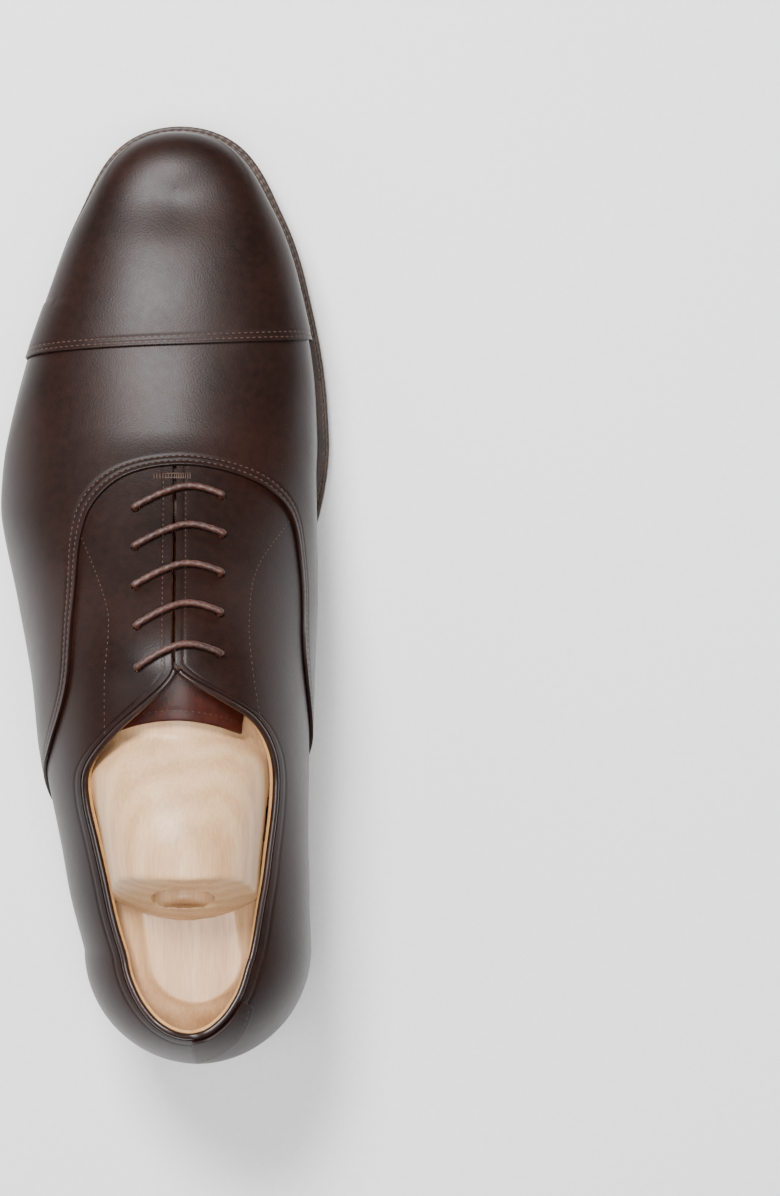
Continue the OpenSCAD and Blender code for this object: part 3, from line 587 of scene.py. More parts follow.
CALF = Leather("calf_brown", "upper_leather", (18, 6, 3), (33, 13, 7))
CALF_EDGE = Plain("calf_cut_edge", "upper_leather", (26, 13, 9), (50, 30, 22), 0.6, 3, 0.4)
TONGUE = Leather("tongue_calf", "tongue_leather", (38, 10, 4), (66, 23, 11), 0.4)
# The tongue's cut edge is coloured pale: partly the raw edge's own tone, partly a painted highlight along the
# edge.
TONGUE_CUT_EDGE_HIGHLIGHT = Plain("tongue_cut_edge_painted_highlight", "tongue_leather", (120, 84, 60), (160, 120, 90), 0.75, 3, 0.4)
LINING = Leather("lining_tan", "lining_leather", (168, 122, 74), (200, 158, 104), 0.55, 0.7, 0.02, 0.0)
BINDING = Leather("binding_dark", "binding_leather", (22, 10, 8), (42, 22, 17), 0.3, 0.5, 0.015, 0.3)
WELT = Plain("welt_leather", "welt_leather", (34, 22, 16), (66, 46, 35), 0.5, 9, 0.7, 0.05)
SOLE_EDGE = Plain("sole_edge_dark", "sole_leather", (14, 9, 8), (30, 20, 16), 0.32, 9, 0.6, 0.03,
                  coat=0.35, stretch=(1, 1, 3))
SOLE_FACE = Leather("sole_natural", "sole_leather", (120, 74, 42), (158, 106, 66), 0.5, 0.9, 0.03, 0.1)
HEEL = Plain("heel_stack_dark", "heel_leather", (16, 10, 8), (36, 23, 17), 0.33, 8, 0.7, 0.03,
             coat=0.35, stretch=(1, 1, 6))
RUBBER = Plain("top_piece_rubber", "top_piece_rubber", (14, 14, 14), (30, 29, 28), 0.72, 6, 0.5, 0.05)
LACE = Plain("lace_waxed", "lace_cord", (40, 17, 11), (76, 40, 29), 0.5, 5, 0.3, 0.04)
THREAD = Plain("thread_brown", "thread", (38, 21, 14), (72, 47, 36), 0.6, 3, 0.25, 0.03)
THREAD_PALE = Plain("thread_grey", "thread", (74, 60, 50), (112, 96, 84), 0.65, 3, 0.25, 0.03)
BEECH = Wood("tree_beech", "tree_wood", (172, 128, 88), (198, 156, 114), (214, 178, 138))
BOARD = Plain("stiffener_board", "stiffener_board", (150, 136, 108), (196, 184, 156), 0.8, 8, 0.6)
INSOLE = Plain("insole_board", "insole_leather", (150, 112, 72), (190, 152, 106), 0.7, 12, 0.8)
CORK = Plain("cork_fill", "cork", (106, 70, 42), (170, 124, 82), 0.85, 2.4, 0.9, 0.2)
STEEL = Plain("shank_steel", "steel", (120, 122, 126), (178, 180, 184), 0.34, 9, 0.5, 0.01, 1.0,
              stretch=(1, 0.1, 1))
SPRING = Plain("spring_steel", "spring_steel", (120, 122, 126), (170, 172, 176), 0.3, 5, 0.4, 0.01, 1.0)
BRASS = Plain("tube_brass", "brass", (150, 116, 60), (200, 166, 98), 0.3, 9, 0.4, 0.01, 1.0,
              stretch=(1, 0.1, 1))
NAIL = Plain("nail_brass", "brass", (150, 120, 70), (196, 164, 104), 0.35, 3, 0.3, 0.01, 1.0)

Finish = Leather | Wood | Plain


class Shelf:
    """Keeps one material for each finish."""

    def __init__(self) -> None:
        """Start empty."""
        self.made: dict[str, bpy.types.Material] = {}

    def get(self, finish: Finish) -> bpy.types.Material:
        """The finish's material, made on first use."""
        if finish.name not in self.made:
            self.made[finish.name] = finish.material()
        return self.made[finish.name]


SHELF = Shelf()

# --- the bench: how a piece is made ---------------------------------------------------------------


class Bench:
    """Adds, shapes and finishes one piece at a time."""

    @staticmethod
    def clear() -> None:
        """Deselect everything."""
        bpy.ops.object.select_all(action="DESELECT")

    @staticmethod
    def only(obj: bpy.types.Object) -> None:
        """Make obj the one selected and active object."""
        Bench.clear()
        obj.select_set(True)
        bpy.context.view_layer.objects.active = obj

    @staticmethod
    def read(rows: bpy.types.bpy_prop_collection, name: str) -> Array:
        """Three numbers from each vertex or face."""
        values = np.empty(len(rows) * 3)
        rows.foreach_get(name, values)
        return values.reshape(-1, 3)

    @staticmethod
    def sheet(name: str, points: Array) -> bpy.types.Object:
        """A grid primitive whose vertices are laid on the given points.

        Args:
            name: name of the object.
            points: rows and columns of points in millimetres.

        Returns:
            The object, one face thick.
        """
        rows, cols = points.shape[:2]
        Bench.clear()
        bpy.ops.mesh.primitive_grid_add(x_subdivisions=cols - 1, y_subdivisions=rows - 1, size=1)
        obj = bpy.context.object
        obj.name = obj.data.name = name
        flat = Bench.read(obj.data.vertices, "co")
        i = np.rint((flat[:, 0] + 0.5) * (cols - 1)).astype(int)
        j = np.rint((flat[:, 1] + 0.5) * (rows - 1)).astype(int)
        obj.data.vertices.foreach_set("co", (points[j, i] * MM).ravel())
        obj.data.update()
        return obj

    @staticmethod
    def edit(obj: bpy.types.Object, merge_mm: float = 0.02, recalc: bool = True, flip: bool = False) -> None:
        """Merge doubled vertices, then turn the faces outwards or the other way round."""
        Bench.only(obj)
        bpy.ops.object.mode_set(mode="EDIT")
        bpy.ops.mesh.select_all(action="SELECT")
        bpy.ops.mesh.remove_doubles(threshold=merge_mm * MM)
        bpy.ops.mesh.select_all(action="SELECT")
        if recalc:
            bpy.ops.mesh.normals_make_consistent(inside=False)
        if flip:
            bpy.ops.mesh.flip_normals()
        bpy.ops.object.mode_set(mode="OBJECT")

    @staticmethod
    def apply(obj: bpy.types.Object, kind: str, **settings) -> None:
        """Add a modifier with these settings and apply it."""
        Bench.only(obj)
        m = obj.modifiers.new(kind.lower(), kind)
        for k, v in settings.items():
            setattr(m, k, v)
        bpy.ops.object.modifier_apply(modifier=m.name)

    @staticmethod
    def rub(obj: bpy.types.Object, centre: Array, reach: float, passes: int) -> None:
        """Smooth the points within reach of a centre.

        Args:
            obj: the piece.
            centre: the middle of the place to rub.
            reach: its radius.
            passes: how often it is rubbed.
        """
        Bench.only(obj)
        places = Bench.read(obj.data.vertices, "co")
        near = np.linalg.norm(places / MM - np.asarray(centre).reshape(3), axis=1) < reach
        bpy.ops.object.mode_set(mode="EDIT")
        bpy.ops.mesh.select_mode(type="VERT")
        bpy.ops.mesh.select_all(action="DESELECT")
        bpy.ops.object.mode_set(mode="OBJECT")
        obj.data.vertices.foreach_set("select", near)
        bpy.ops.object.mode_set(mode="EDIT")
        bpy.ops.mesh.vertices_smooth(factor=0.5, repeat=passes)
        bpy.ops.object.mode_set(mode="OBJECT")

    @staticmethod
    def mesh(name: str, points: Array, faces: Iterable[Sequence[int]]) -> bpy.types.Object:
        """A mesh from points in millimetres and faces."""
        data = bpy.data.meshes.new(name)
        data.from_pydata((points * MM).tolist(), [], [list(map(int, f)) for f in faces])
        obj = bpy.data.objects.new(name, data)
        bpy.context.scene.collection.objects.link(obj)
        return obj

    @staticmethod
    def cylinder(centre: Array, axis: Array, radius: float, height: float, sides: int = 32
                 ) -> bpy.types.Object:
        """A cylinder primitive as a cutter, in millimetres."""
        Bench.clear()
        turn = Vector(axis).to_track_quat("Z", "Y").to_euler()
        bpy.ops.mesh.primitive_cylinder_add(vertices=sides, radius=radius * MM, depth=height * MM,
                                            location=Vector(centre) * MM, rotation=turn)
        return bpy.context.object

    @staticmethod
    def cut(obj: bpy.types.Object, cutters: Sequence[bpy.types.Object]) -> None:
        """Take the cutters away from a piece and clear them up."""
        for c in cutters:
            Bench.apply(obj, "BOOLEAN", operation="DIFFERENCE", solver="EXACT", object=c)
            bpy.data.objects.remove(c)

    @staticmethod
    def dress(obj: bpy.types.Object, finishes: Sequence[Finish], body: str = SHOE,
              nodes: Sequence[str] = (), angle: float = 40.0) -> bpy.types.Object:
        """Shade, place, clothe and register a finished piece.

        Args:
            obj: the piece.
            finishes: its finishes, in the order of its material slots.
            body: the body that it rides on.
            nodes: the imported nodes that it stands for.
            angle: edges sharper than this stay sharp, in degrees.

        Returns:
            The piece.
        """
        Bench.only(obj)
        bpy.ops.object.transform_apply(location=True, rotation=True, scale=True)
        bpy.ops.object.shade_smooth_by_angle(angle=math.radians(angle))
        obj.data.materials.clear()
        for f in finishes:
            obj.data.materials.append(SHELF.get(f))
        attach(obj, body)
        if nodes:
            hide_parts(*nodes)
        return obj


def bands(rings: int, points: int) -> list[tuple[int, ...]]:
    """Faces between closed rings of the same number of points."""
    return [(i * points + j, i * points + (j + 1) % points,
             (i + 1) * points + (j + 1) % points, (i + 1) * points + j)
            for i in range(rings - 1) for j in range(points)]


def end_faces(rings: int, points: int) -> list[tuple[int, ...]]:
    """Flat faces that close the first and the last ring."""
    return [tuple(range(points)), tuple((rings - 1) * points + j for j in range(points))[::-1]]


def run_along(points: Array) -> Array:
    """Distance run along a polyline at each of its points."""
    return np.concatenate([[0], np.cumsum(np.linalg.norm(np.diff(points, axis=0), axis=1))])


def groove(d: Array, rows: Sequence[float], depth: float = 0.16, width: float = 0.5) -> Array:
    """Shallow channels that stitch rows pull into the leather.

    Args:
        d: distance from the edge.
        rows: distances of the rows.
        depth: how deep a row pulls in.
        width: how wide the channel is.

    Returns:
        Offset of the surface.
    """
    return -depth * sum(np.exp(-(((d - r) / width) ** 2)) for r in rows)


def columns(length: float, fine: float, fine_to: float, coarse: float) -> Array:
    """Distances from an edge: close steps first, wider ones after.

    Args:
        length: whole distance.
        fine: first step.
        fine_to: where the wider steps start.
        coarse: the wider step.

    Returns:
        Distances from 0 to length.
    """
    a = np.arange(0, fine_to, fine)
    return np.concatenate([a, np.linspace(fine_to, length, max(int((length - fine_to) / coarse), 2) + 1)])


class Panel:
    """A leather panel: a grid laid on the last, given its thickness and soft edges."""

    def __init__(self, name: str, u: Array, w: Array, off: Array, thick: float) -> None:
        """Lay the grid.

        Args:
            name: name of the piece.
            u: stations of the grid.
            w: places across of the grid.
            off: offset of the outer face from the last.
            thick: thickness, inwards.
        """
        points, normals = LAST.skin(u, w, off), LAST.normal(u, w)
        self.obj = Bench.sheet(name, points)
        rows, cols = u.shape
        middle = (slice(rows // 4, rows // 2), slice(cols // 4, cols // 2))
        Bench.edit(self.obj, recalc=False)
        self.face_out(points[middle].reshape(-1, 3), normals[middle].reshape(-1, 3))
        Bench.apply(self.obj, "SOLIDIFY", thickness=thick * MM, offset=-1.0, use_rim=True,
                    material_offset_rim=1, use_quality_normals=True)

    def face_out(self, spots: Array, outward: Array) -> None:
        """Turn the faces outwards, judged at some forty known spots."""
        centres = Bench.read(self.obj.data.polygons, "center") / MM
        normals = Bench.read(self.obj.data.polygons, "normal")
        every = max(len(spots) // 40, 1)
        near = [int(np.argmin(((centres - p) ** 2).sum(1))) for p in spots[::every]]
        if (normals[near] * outward[::every]).sum() < 0:
            Bench.edit(self.obj, recalc=False, flip=True)

    def soften(self, width: float = 0.3) -> "Panel":
        """Round the rim's edges."""
        Bench.apply(self.obj, "BEVEL", width=width * MM, segments=2, limit_method="ANGLE",
                    angle_limit=math.radians(55), harden_normals=False)
        return self


class Stitching:
    """Rows of thread: one stitch is modelled once, and copied along each row."""

    def __init__(self) -> None:
        """Model the stitch: a short rounded bar, 1 long, 1 wide and 1 high."""
        Bench.clear()
        bpy.ops.mesh.primitive_uv_sphere_add(segments=8, ring_count=6, radius=0.5,
                                             rotation=(0, math.pi / 2, 0))
        obj = bpy.context.object
        bpy.ops.object.transform_apply(location=True, rotation=True, scale=True)
        co = np.array([v.co[:] for v in obj.data.vertices])
        co[:, 0] = np.sign(co[:, 0]) * 0.5 * (np.abs(co[:, 0]) * 2) ** 0.7
        self.points = co
        self.faces = [tuple(p.vertices) for p in obj.data.polygons]
        bpy.data.objects.remove(obj)

    def row(self, path: Array, up: Array, pitch: float, width: float, fill: float = 0.86,
            sink: float = 0.1, slant: float = 0.0) -> tuple[Array, list[tuple[int, ...]]]:
        """Stitches along a path.

        Args:
            path: the line of the row, in millimetres.
            up: outward directions along it.
            pitch: length of a stitch with its gap.
            width: thread width.
            fill: share of the pitch that the thread covers.
            sink: how far the middle of the thread lies below the path.
            slant: turn of each stitch off the row, in radians.

        Returns:
            Points and faces of the row.
        """
        spots, at = even(path, pitch)
        mids = walk(path, (at[1:] + at[:-1]) / 2)
        ups = unit(walk(up, (at[1:] + at[:-1]) / 2))
        ahead = unit(spots[1:] - spots[:-1])
        side = unit(np.cross(ups, ahead))
        turned = unit(ahead * math.cos(slant) + side * math.sin(slant))
        side = unit(np.cross(ups, turned))
        pts, faces = [], []
        local = self.points * np.array([pitch * fill, width, width * 0.8])
        local[:, 2] -= sink + 1.4 * width * (np.abs(self.points[:, 0]) * 2) ** 3 * 0.5
        for k in range(len(mids)):
            base = len(pts) * len(local)
            pts.append(mids[k] + local[:, :1] * turned[k] + local[:, 1:2] * side[k] + local[:, 2:] * ups[k])
            faces += [tuple(base + i for i in f) for f in self.faces]
        return np.concatenate(pts), faces

    def piece(self, name: str, rows: Sequence[tuple[Array, list[tuple[int, ...]]]], finish: Finish,
              nodes: Sequence[str] = ()) -> bpy.types.Object:
        """One piece from several rows."""
        pts, faces, base = [], [], 0
        for p, f in rows:
            pts.append(p)
            faces += [tuple(base + i for i in face) for face in f]
            base += len(p)
        return Bench.dress(Bench.mesh(name, np.concatenate(pts), faces), [finish], nodes=nodes, angle=80)


def tube(name: str, path: Array, radius: Callable[[Array, Array], Array], sides: int) -> bpy.types.Object:
    """A round tube with closed ends.

    Args:
        name: name of the object.
        path: centre line in millimetres, closely spaced.
        radius: gives the radius for (turn, run), both as arrays.
        sides: number of sides.

    Returns:
        The object.
    """
    run = run_along(path)
    ahead = unit(np.gradient(path, axis=0))
    side = np.empty_like(path)
    ref = np.cross(ahead[0], [0.13, 0.97, 0.2])
    for i, t in enumerate(ahead):
        ref = ref - t * (ref @ t)
        ref = ref / np.linalg.norm(ref)
        side[i] = ref
    other = np.cross(ahead, side)
    turn = np.linspace(0, 2 * math.pi, sides, endpoint=False)
    r = radius(turn[None, :], run[:, None])
    rings = (path[:, None] + r[..., None] * (side[:, None] * np.cos(turn)[None, :, None]
                                             + other[:, None] * np.sin(turn)[None, :, None]))
    n = len(path)
    faces = bands(n, sides)
    pts = np.concatenate([rings.reshape(-1, 3), path[:1] - ahead[:1] * r.mean() * 0.5,
                          path[-1:] + ahead[-1:] * r.mean() * 0.5])
    a, b = n * sides, n * sides + 1
    faces += [(j, a, (j + 1) % sides) for j in range(sides)]
    last = (n - 1) * sides
    faces += [(last + j, last + (j + 1) % sides, b) for j in range(sides)]
    obj = Bench.mesh(name, pts, faces)
    Bench.edit(obj, merge_mm=0.001)
    return obj


# --- the upper ------------------------------------------------------------------------------------


@dataclass
class Upper:
    """Outer leathers, linings, tongue and binding, with their stitching."""

    stitching: Stitching
    cap_seam: float = 77.0
    lap_width: float = 11.0
    lap_fall: float = 28.0
    lap_seen: float = 1.2
    skived: float = 1.0
    seam_rows: tuple[float, float] = (1.3, 2.9)
    cap_rows: tuple[float, float] = (1.2, 2.8)
    facing_row: float = 3.0
    bead: float = 1.05
    thread: float = 0.46
    pitch: float = 2.0
    tongue_back: float = -46.0
    tongue_row: float = 3.2
    tongue_deep: float = SIZES.lap + SIZES.lining + 2 * SIZES.gap + SIZES.lace + 0.15
    tab_low: Curve = field(default_factory=lambda: Curve((-173, 0.9), (-157, 0.8), (-147, 0.7), (-141, 0.64)))
    seam: Points = field(default_factory=lambda: [
        [-74, -0.94], [-62, -0.76], [-50, -0.555], [-32, -0.404], [-8, -0.338], [16, -0.287], [28, -0.23],
        [36, -0.13], [38.8, 0.02], [36.5, 0.21], [30.4, 0.39], [21, 0.515], [4, 0.57], [-17, 0.604],
        [-33, 0.68], [-46, 0.785], [-60, 0.94]])
    edge: Points = field(default_factory=lambda: [
        [-76, -1], [-62, -1], [-44, -1], [-20, -1], [10, -1], [42, -1], [84, -1], [86, -0.5], [88, 0],
        [90, 0.5], [92, 1], [50, 1], [22, 1], [-6, 1], [-28, 1], [-46, 1], [-62, 1]])

    @staticmethod
    def span(a: Array, b: Array) -> Array:
        """Distance over the last between places a and b, each given as (station, place across)."""
        return np.linalg.norm(LAST.shape(b[..., 0], b[..., 1]) - LAST.shape(a[..., 0], a[..., 1]), axis=-1)

    def lapped(self, d: Array) -> Array:
        """Share of the lap at distance d from the vamp's seam."""
        return self.lap_seen * (1 - ease((d - self.lap_width) / self.lap_fall))

    def cap_lift(self, d: Array) -> Array:
        """Offset of the toe cap at distance d from its edge, which comes down evenly to the tip."""
        return self.lap_seen * (1 - np.clip(d / 70, 0, 1))

    def cap_line(self, w: Array) -> Array:
        """Station of the toe cap's edge."""
        return self.cap_seam + 1 + 4 * w

    def lining_out(self, u: Array, w: Array) -> Array:
        """Offset of the lining's outer face, deeper under a stiffener."""
        top = np.abs(LAST.top_w(u, np.where(np.asarray(w) < 0, -1.0, 1.0)))
        stiff = np.maximum(ease((u - self.cap_line(w) + 18) / 10),
                           ease((-62 - u) / 10) * ease((np.abs(w) - 0.33) / 0.1)
                           * ease((np.abs(w) - top) / 0.04))
        return -SIZES.lap - (SIZES.stiffener + SIZES.gap) * stiff

    def seam_grid(self, t: Array, d: Array) -> tuple[Array, Array, Array]:
        """Places on the vamp at distances from its seam.

        Args:
            t: places along the seam.
            d: distances in from it.

        Returns:
            Stations, places across and offsets.
        """
        a, b = sweep(self.seam, t), walk(self.edge, t)
        q = mix(a, b, (d / self.span(a, b))[..., None])
        return q[..., 0], q[..., 1], self.lapped(d)

    def vamp(self) -> bpy.types.Object:
        """The vamp, whose U seam laps over both quarters."""
        t = np.concatenate([steps(0, 5.6, 90), steps(5.66, 10.3, 150), steps(10.36, 16, 90)])
        fine = 4.4
        near = np.arange(0, fine + 0.01, 0.4)
        share = np.linspace(0, 1, 62)[1:] ** 1.1
        d = np.stack([np.concatenate([near * (k * 0.3 / fine if k < 8 else 1),
                                      mix(min(fine, k * 0.3), k, share)])
                      for k in self.span(sweep(self.seam, t), walk(self.edge, t))])
        u, w, off = self.seam_grid(np.repeat(t[:, None], d.shape[1], axis=1), d)
        off = off + groove(d, self.seam_rows)
        p = Panel("vamp_leather", u, w, off, self.skived).soften(0.25)
        return Bench.dress(p.obj, [CALF, CALF_EDGE], nodes=["vamp"])

    def toe_cap(self) -> bpy.types.Object:
        """The toe cap over the vamp's front."""
        w = np.linspace(-1, 1, 171)
        d = columns(78, 0.4, 4.4, 1.15)
        a = self.cap_line(w)
        u = a[None, :] + (LAST.tip_at - a)[None, :] * (d / d[-1])[:, None]
        dist = u - a[None, :]
        ww = np.repeat(w[None, :], len(d), axis=0)
        off = self.cap_lift(dist) + groove(dist, self.cap_rows)
        p = Panel("toe_cap_leather", u, ww, off, self.skived)
        Bench.rub(p.obj, LAST.skin(np.array(140.0), np.array(0.0), np.array(SIZES.lap)), 26.0, 26)
        p.soften(0.25)
        return Bench.dress(p.obj, [CALF, CALF_EDGE], nodes=["toe_cap"])

    def quarter(self, side: Side) -> bpy.types.Object:
        """One quarter with its punched lace holes."""
        sign = side.value
        top = [52, 47, 41, 34, 26, 18, 8, -2, -12, -20, -25, -30, -36, -42, -48, -56, -64, -80, -98, -116,
               -130, -144, -158, -172.8]
        low_lat = [[52, -0.1], [51, -0.2], [48, -0.26], [42, -0.33], [34, -0.37], [22, -0.42], [8, -0.45],
                   [-6, -0.47], [-16, -0.49], [-26, -0.52], [-33, -0.55], [-39, -0.59], [-45, -0.65],
                   [-50, -0.72], [-56, -0.82], [-63, -0.92], [-71, -1], [-84, -1], [-100, -1], [-116, -1],
                   [-130, -1], [-144, -1], [-158, -1], [-172.8, -1]]
        low_med = [[52, 0.1], [52, 0.2], [50, 0.32], [46, 0.43], [40, 0.52], [30, 0.6], [16, 0.66], [2, 0.69],
                   [-12, 0.71], [-22, 0.74], [-30, 0.79], [-38, 0.86], [-46, 0.94], [-53, 0.98], [-58, 1],
                   [-66, 1], [-74, 1], [-86, 1], [-100, 1], [-116, 1], [-130, 1], [-144, 1], [-158, 1],
                   [-172.8, 1]]
        low = low_lat if sign < 0 else low_med
        t = steps(0, 23, 300)
        ut = walk([[v, 0] for v in top], t)[:, 0]
        a = np.stack([ut, LAST.top_w(ut, sign)], -1)
        b = walk(low, t)
        whole = self.span(a, b)
        fine = 5.0
        near = np.arange(0, fine + 0.01, 0.5)
        share = np.linspace(0, 1, 46)[1:]
        d = np.stack([np.concatenate([near * min(1, k / 12), mix(fine * min(1, k / 12), k, share)])
                      for k in whole])
        q = mix(a[:, None], b[:, None], (d / whole[:, None])[..., None])
        off = groove(d, [self.facing_row], 0.14)
        name = f"quarter_{side.name.lower()}"
        p = Panel(name + "_leather", q[..., 0], q[..., 1], off, SIZES.leather).soften(0.35)
        Bench.cut(p.obj, [Lacing.punch(side, row) for row in range(5)])
        return Bench.dress(p.obj, [CALF, CALF_EDGE], nodes=[name])

    def linings(self) -> list[bpy.types.Object]:
        """The vamp's lining and the lining of both quarters."""
        w = np.linspace(-1, 1, 121)
        u = np.repeat(np.linspace(34.1, LAST.tip_at, 110)[:, None], len(w), axis=1)
        ww = np.repeat(w[None, :], u.shape[0], axis=0)
        front = Panel("vamp_lining_leather", u, ww, self.lining_out(u, ww), SIZES.lining)
        way = np.concatenate([np.stack([steps(33.9, LAST.back_at, 150), np.full(151, -1.0)], -1),
                              np.stack([steps(LAST.back_at, 33.9, 150), np.full(151, 1.0)], -1)[1:]])
        uu = np.repeat(way[:, :1], 46, axis=1)
        foot_w = way[:, 1:]
        # Behind the slit the lining's own edge stands just above the leather's
        proud = 0.02 * ease((-27 - way[:, 0]) / 8) * way[:, 1]
        top_w = (LAST.top_w(way[:, 0], way[:, 1]) - proud)[:, None]
        qw = mix(foot_w, top_w, np.linspace(0, 1, 46)[None, :])
        rear = Panel("quarter_lining_leather", uu, qw, self.lining_out(uu, qw), SIZES.lining)
        for side in Side:
            Bench.cut(rear.obj, [Lacing.punch(side, row) for row in range(5)])
        return [Bench.dress(front.obj, [LINING, LINING], nodes=["vamp_lining"]),
                Bench.dress(rear.obj, [LINING, LINING], nodes=["quarter_lining"])]

    def tongue_place(self, u0: Array, k: Array) -> tuple[Array, Array]:
        """Station and place across of the tongue's point k, from -4 to 4, on its row u0."""
        u0, k = np.broadcast_arrays(u0, k)
        # The side of the middle line is taken as medial, where the distance is nought
        edge_w = LAST.w_at(u0, np.where(k < 0, -1.0, 1.0), mix(24, 26, ease((u0 - self.tongue_back) / 12)))
        return u0 + 4 * (1 - k * k / 16) * ease((-20 - u0) / 24), np.abs(k) / 4 * edge_w

    def tongue(self) -> bpy.types.Object:
        """The tongue under the slit, with its cut top edge."""
        u0 = np.linspace(44, self.tongue_back, 100)[:, None]
        u, w = self.tongue_place(u0, np.linspace(-4, 4, 65)[None, :])
        shallow = SIZES.lap + SIZES.lining + SIZES.gap
        off = -mix(shallow, self.tongue_deep, ease((38 - u) / 16))
        back = u0 - self.tongue_back + 0 * u
        p = Panel("tongue_leather", u, w, off + groove(back, [self.tongue_row], 0.14, 0.5),
                  SIZES.tongue).soften(0.4)
        # The tongue's rim takes the pale edge finish, which is partly a painted highlight along its cut edge.
        return Bench.dress(p.obj, [TONGUE, TONGUE_CUT_EDGE_HIGHLIGHT], nodes=["tongue"])

    def back_tab(self) -> bpy.types.Object:
        """The curved tab over the back seam."""
        u = np.repeat(np.linspace(LAST.back_at + 0.1, -141, 60)[:, None], 24, axis=1)
        a, b = LAST.top_w(u, 1.0), LAST.w_of(u, 1.0, self.tab_low(u))
        w = mix(a, b, np.linspace(0, 1, 24)[None, :])
        p = Panel("back_tab_leather", u, w, self.lap_seen + 0 * u, self.skived).soften(0.3)
        return Bench.dress(p.obj, [CALF, CALF_EDGE], nodes=["back_tab"])

    def rim(self, u: Array, side: Array) -> tuple[Array, Array]:
        """Centre of the topline's binding, and the direction away from the edge."""
        w = LAST.top_w(u, side)
        p = LAST.skin(u, w, -self.bead * 0.8)
        q = LAST.shape(u + 1, LAST.top_w(u + 1, side)) - LAST.shape(u - 1, LAST.top_w(u - 1, side))
        up = unit(np.cross(LAST.normal(u, w), q))
        inward = LAST.shape(u, w * 0.9) - LAST.shape(u, w)
        up = np.where((up * inward).sum(-1)[..., None] > 0, up, -up)
        return p + up * (self.bead - 0.1), up

    def binding(self) -> bpy.types.Object:
        """The rolled binding along the topline."""
        ends = LAST.back_at + 1.1
        half = np.concatenate([steps(-25, -56, 60), steps(-57, ends, 120)])
        u = np.concatenate([half, half[::-1]])
        side = np.concatenate([np.full(182, -1.0), np.full(182, 1.0)])
        path = even(self.rim(u, side)[0], 0.9)[0]
        for _ in range(3):
            path[1:-1] = (path[:-2] + 2 * path[1:-1] + path[2:]) / 4

        r = self.bead
        obj = tube("topline_binding_roll", path,
                   lambda a, s: r * (1 - 0.012 * (1 + np.sin(s * 2.6))) + 0 * a, 18)
        return Bench.dress(obj, [BINDING], nodes=["topline_binding"], angle=80)

    def thread_rows(self) -> None:
        """All visible rows of stitches on the upper."""
        st = self.stitching
        t = steps(0.15, 15.85, 700)
        rows = []
        for d in self.seam_rows:
            u, w, off = self.seam_grid(t, np.full_like(t, d))
            rows.append(st.row(LAST.skin(u, w, off - 0.1), LAST.normal(u, w), self.pitch, self.thread))
        st.piece("stitches_vamp", rows, THREAD)
        w = np.linspace(-0.97, 0.97, 500)
        rows = []
        for d in self.cap_rows:
            u = self.cap_line(w) + d
            rows.append(st.row(LAST.skin(u, w, self.cap_lift(d) - 0.1), LAST.normal(u, w), self.pitch,
                               self.thread))
        st.piece("stitches_toe_cap", rows, THREAD)
        far = {Side.LATERAL: Curve((-46, 22.6), (-28, 21.9), (-10, 20.5), (0, 23.1), (16.3, 30.1),
                                   (24, 34.5)),
               Side.MEDIAL: Curve((-42, 25.8), (-25.5, 23.8), (-10, 23), (6, 25.6), (21, 35.5), (26, 39))}
        for side in Side:
            rows = []
            u = np.concatenate([steps(34.5, -22, 120), steps(-22.4, -50, 90)])
            w = LAST.top_w(u, float(side.value))
            edge = LAST.skin(u, w, 0)
            lower = np.where(np.abs(w) < 0.5, w + side.value * 0.05, w * 1.05)
            inward = unit(LAST.shape(u, lower) - LAST.shape(u, w))
            along = unit(np.gradient(edge, axis=0))
            across = unit(inward - along * (inward * along).sum(-1)[:, None])
            uu, ww = self.nearest(edge + across * self.facing_row, u, w, side)
            rows.append(st.row(LAST.skin(uu, ww, -0.08), LAST.normal(uu, ww), self.pitch, self.thread))
            u = steps(far[side].x[0], far[side].x[-1] - 2, 160)
            w = LAST.w_at(u, float(side.value), far[side](u))
            rows.append(st.row(LAST.skin(u, w, 0.03), LAST.normal(u, w), self.pitch, self.thread * 0.9, 0.72))
            st.piece(f"stitches_quarter_{side.name.lower()}", rows, THREAD)
        u, w = self.tongue_place(self.tongue_back + self.tongue_row, np.linspace(-3.7, 3.7, 200))
        st.piece("stitches_tongue", [st.row(LAST.skin(u, w, -self.tongue_deep - 0.08), LAST.normal(u, w),
                                            self.pitch, self.thread)], THREAD)
        u = steps(-171.5, -143, 120)
        w = LAST.w_of(u, 1.0, self.tab_low(u)) - 0.03
        rows = [st.row(LAST.skin(u, w, self.lap_seen + 0.02), LAST.normal(u, w), self.pitch, self.thread)]
        st.piece("stitches_back_tab", rows, THREAD)

    @staticmethod
    def nearest(guess: Array, u: Array, w: Array, side: Side) -> tuple[Array, Array]:
        """Places on the last nearest to points beside it.

        Args:
            guess: the points.
            u: first stations.
            w: first places across.
            side: the half that the points lie on.

        Returns:
            Stations and places across.
        """
        u, w = u.astype(float).copy(), w.astype(float).copy()
        for _ in range(6):
            p = LAST.shape(u, w)
            du = (LAST.shape(u + 0.2, w) - p) / 0.2
            dw = (LAST.shape(u, w + side.value * 0.002) - p) / (side.value * 0.002)
            r = guess - p
            a, b, c = (du * du).sum(-1), (du * dw).sum(-1), (dw * dw).sum(-1)
            e, f = (r * du).sum(-1), (r * dw).sum(-1)
            det = np.maximum(a * c - b * b, 1e-6)
            u = u + np.clip((e * c - f * b) / det, -3, 3)
            w = w + np.clip((a * f - b * e) / det, -0.05, 0.05)
            w = np.clip(w, -1, 0) if side is Side.LATERAL else np.clip(w, 0, 1)
        return u, w

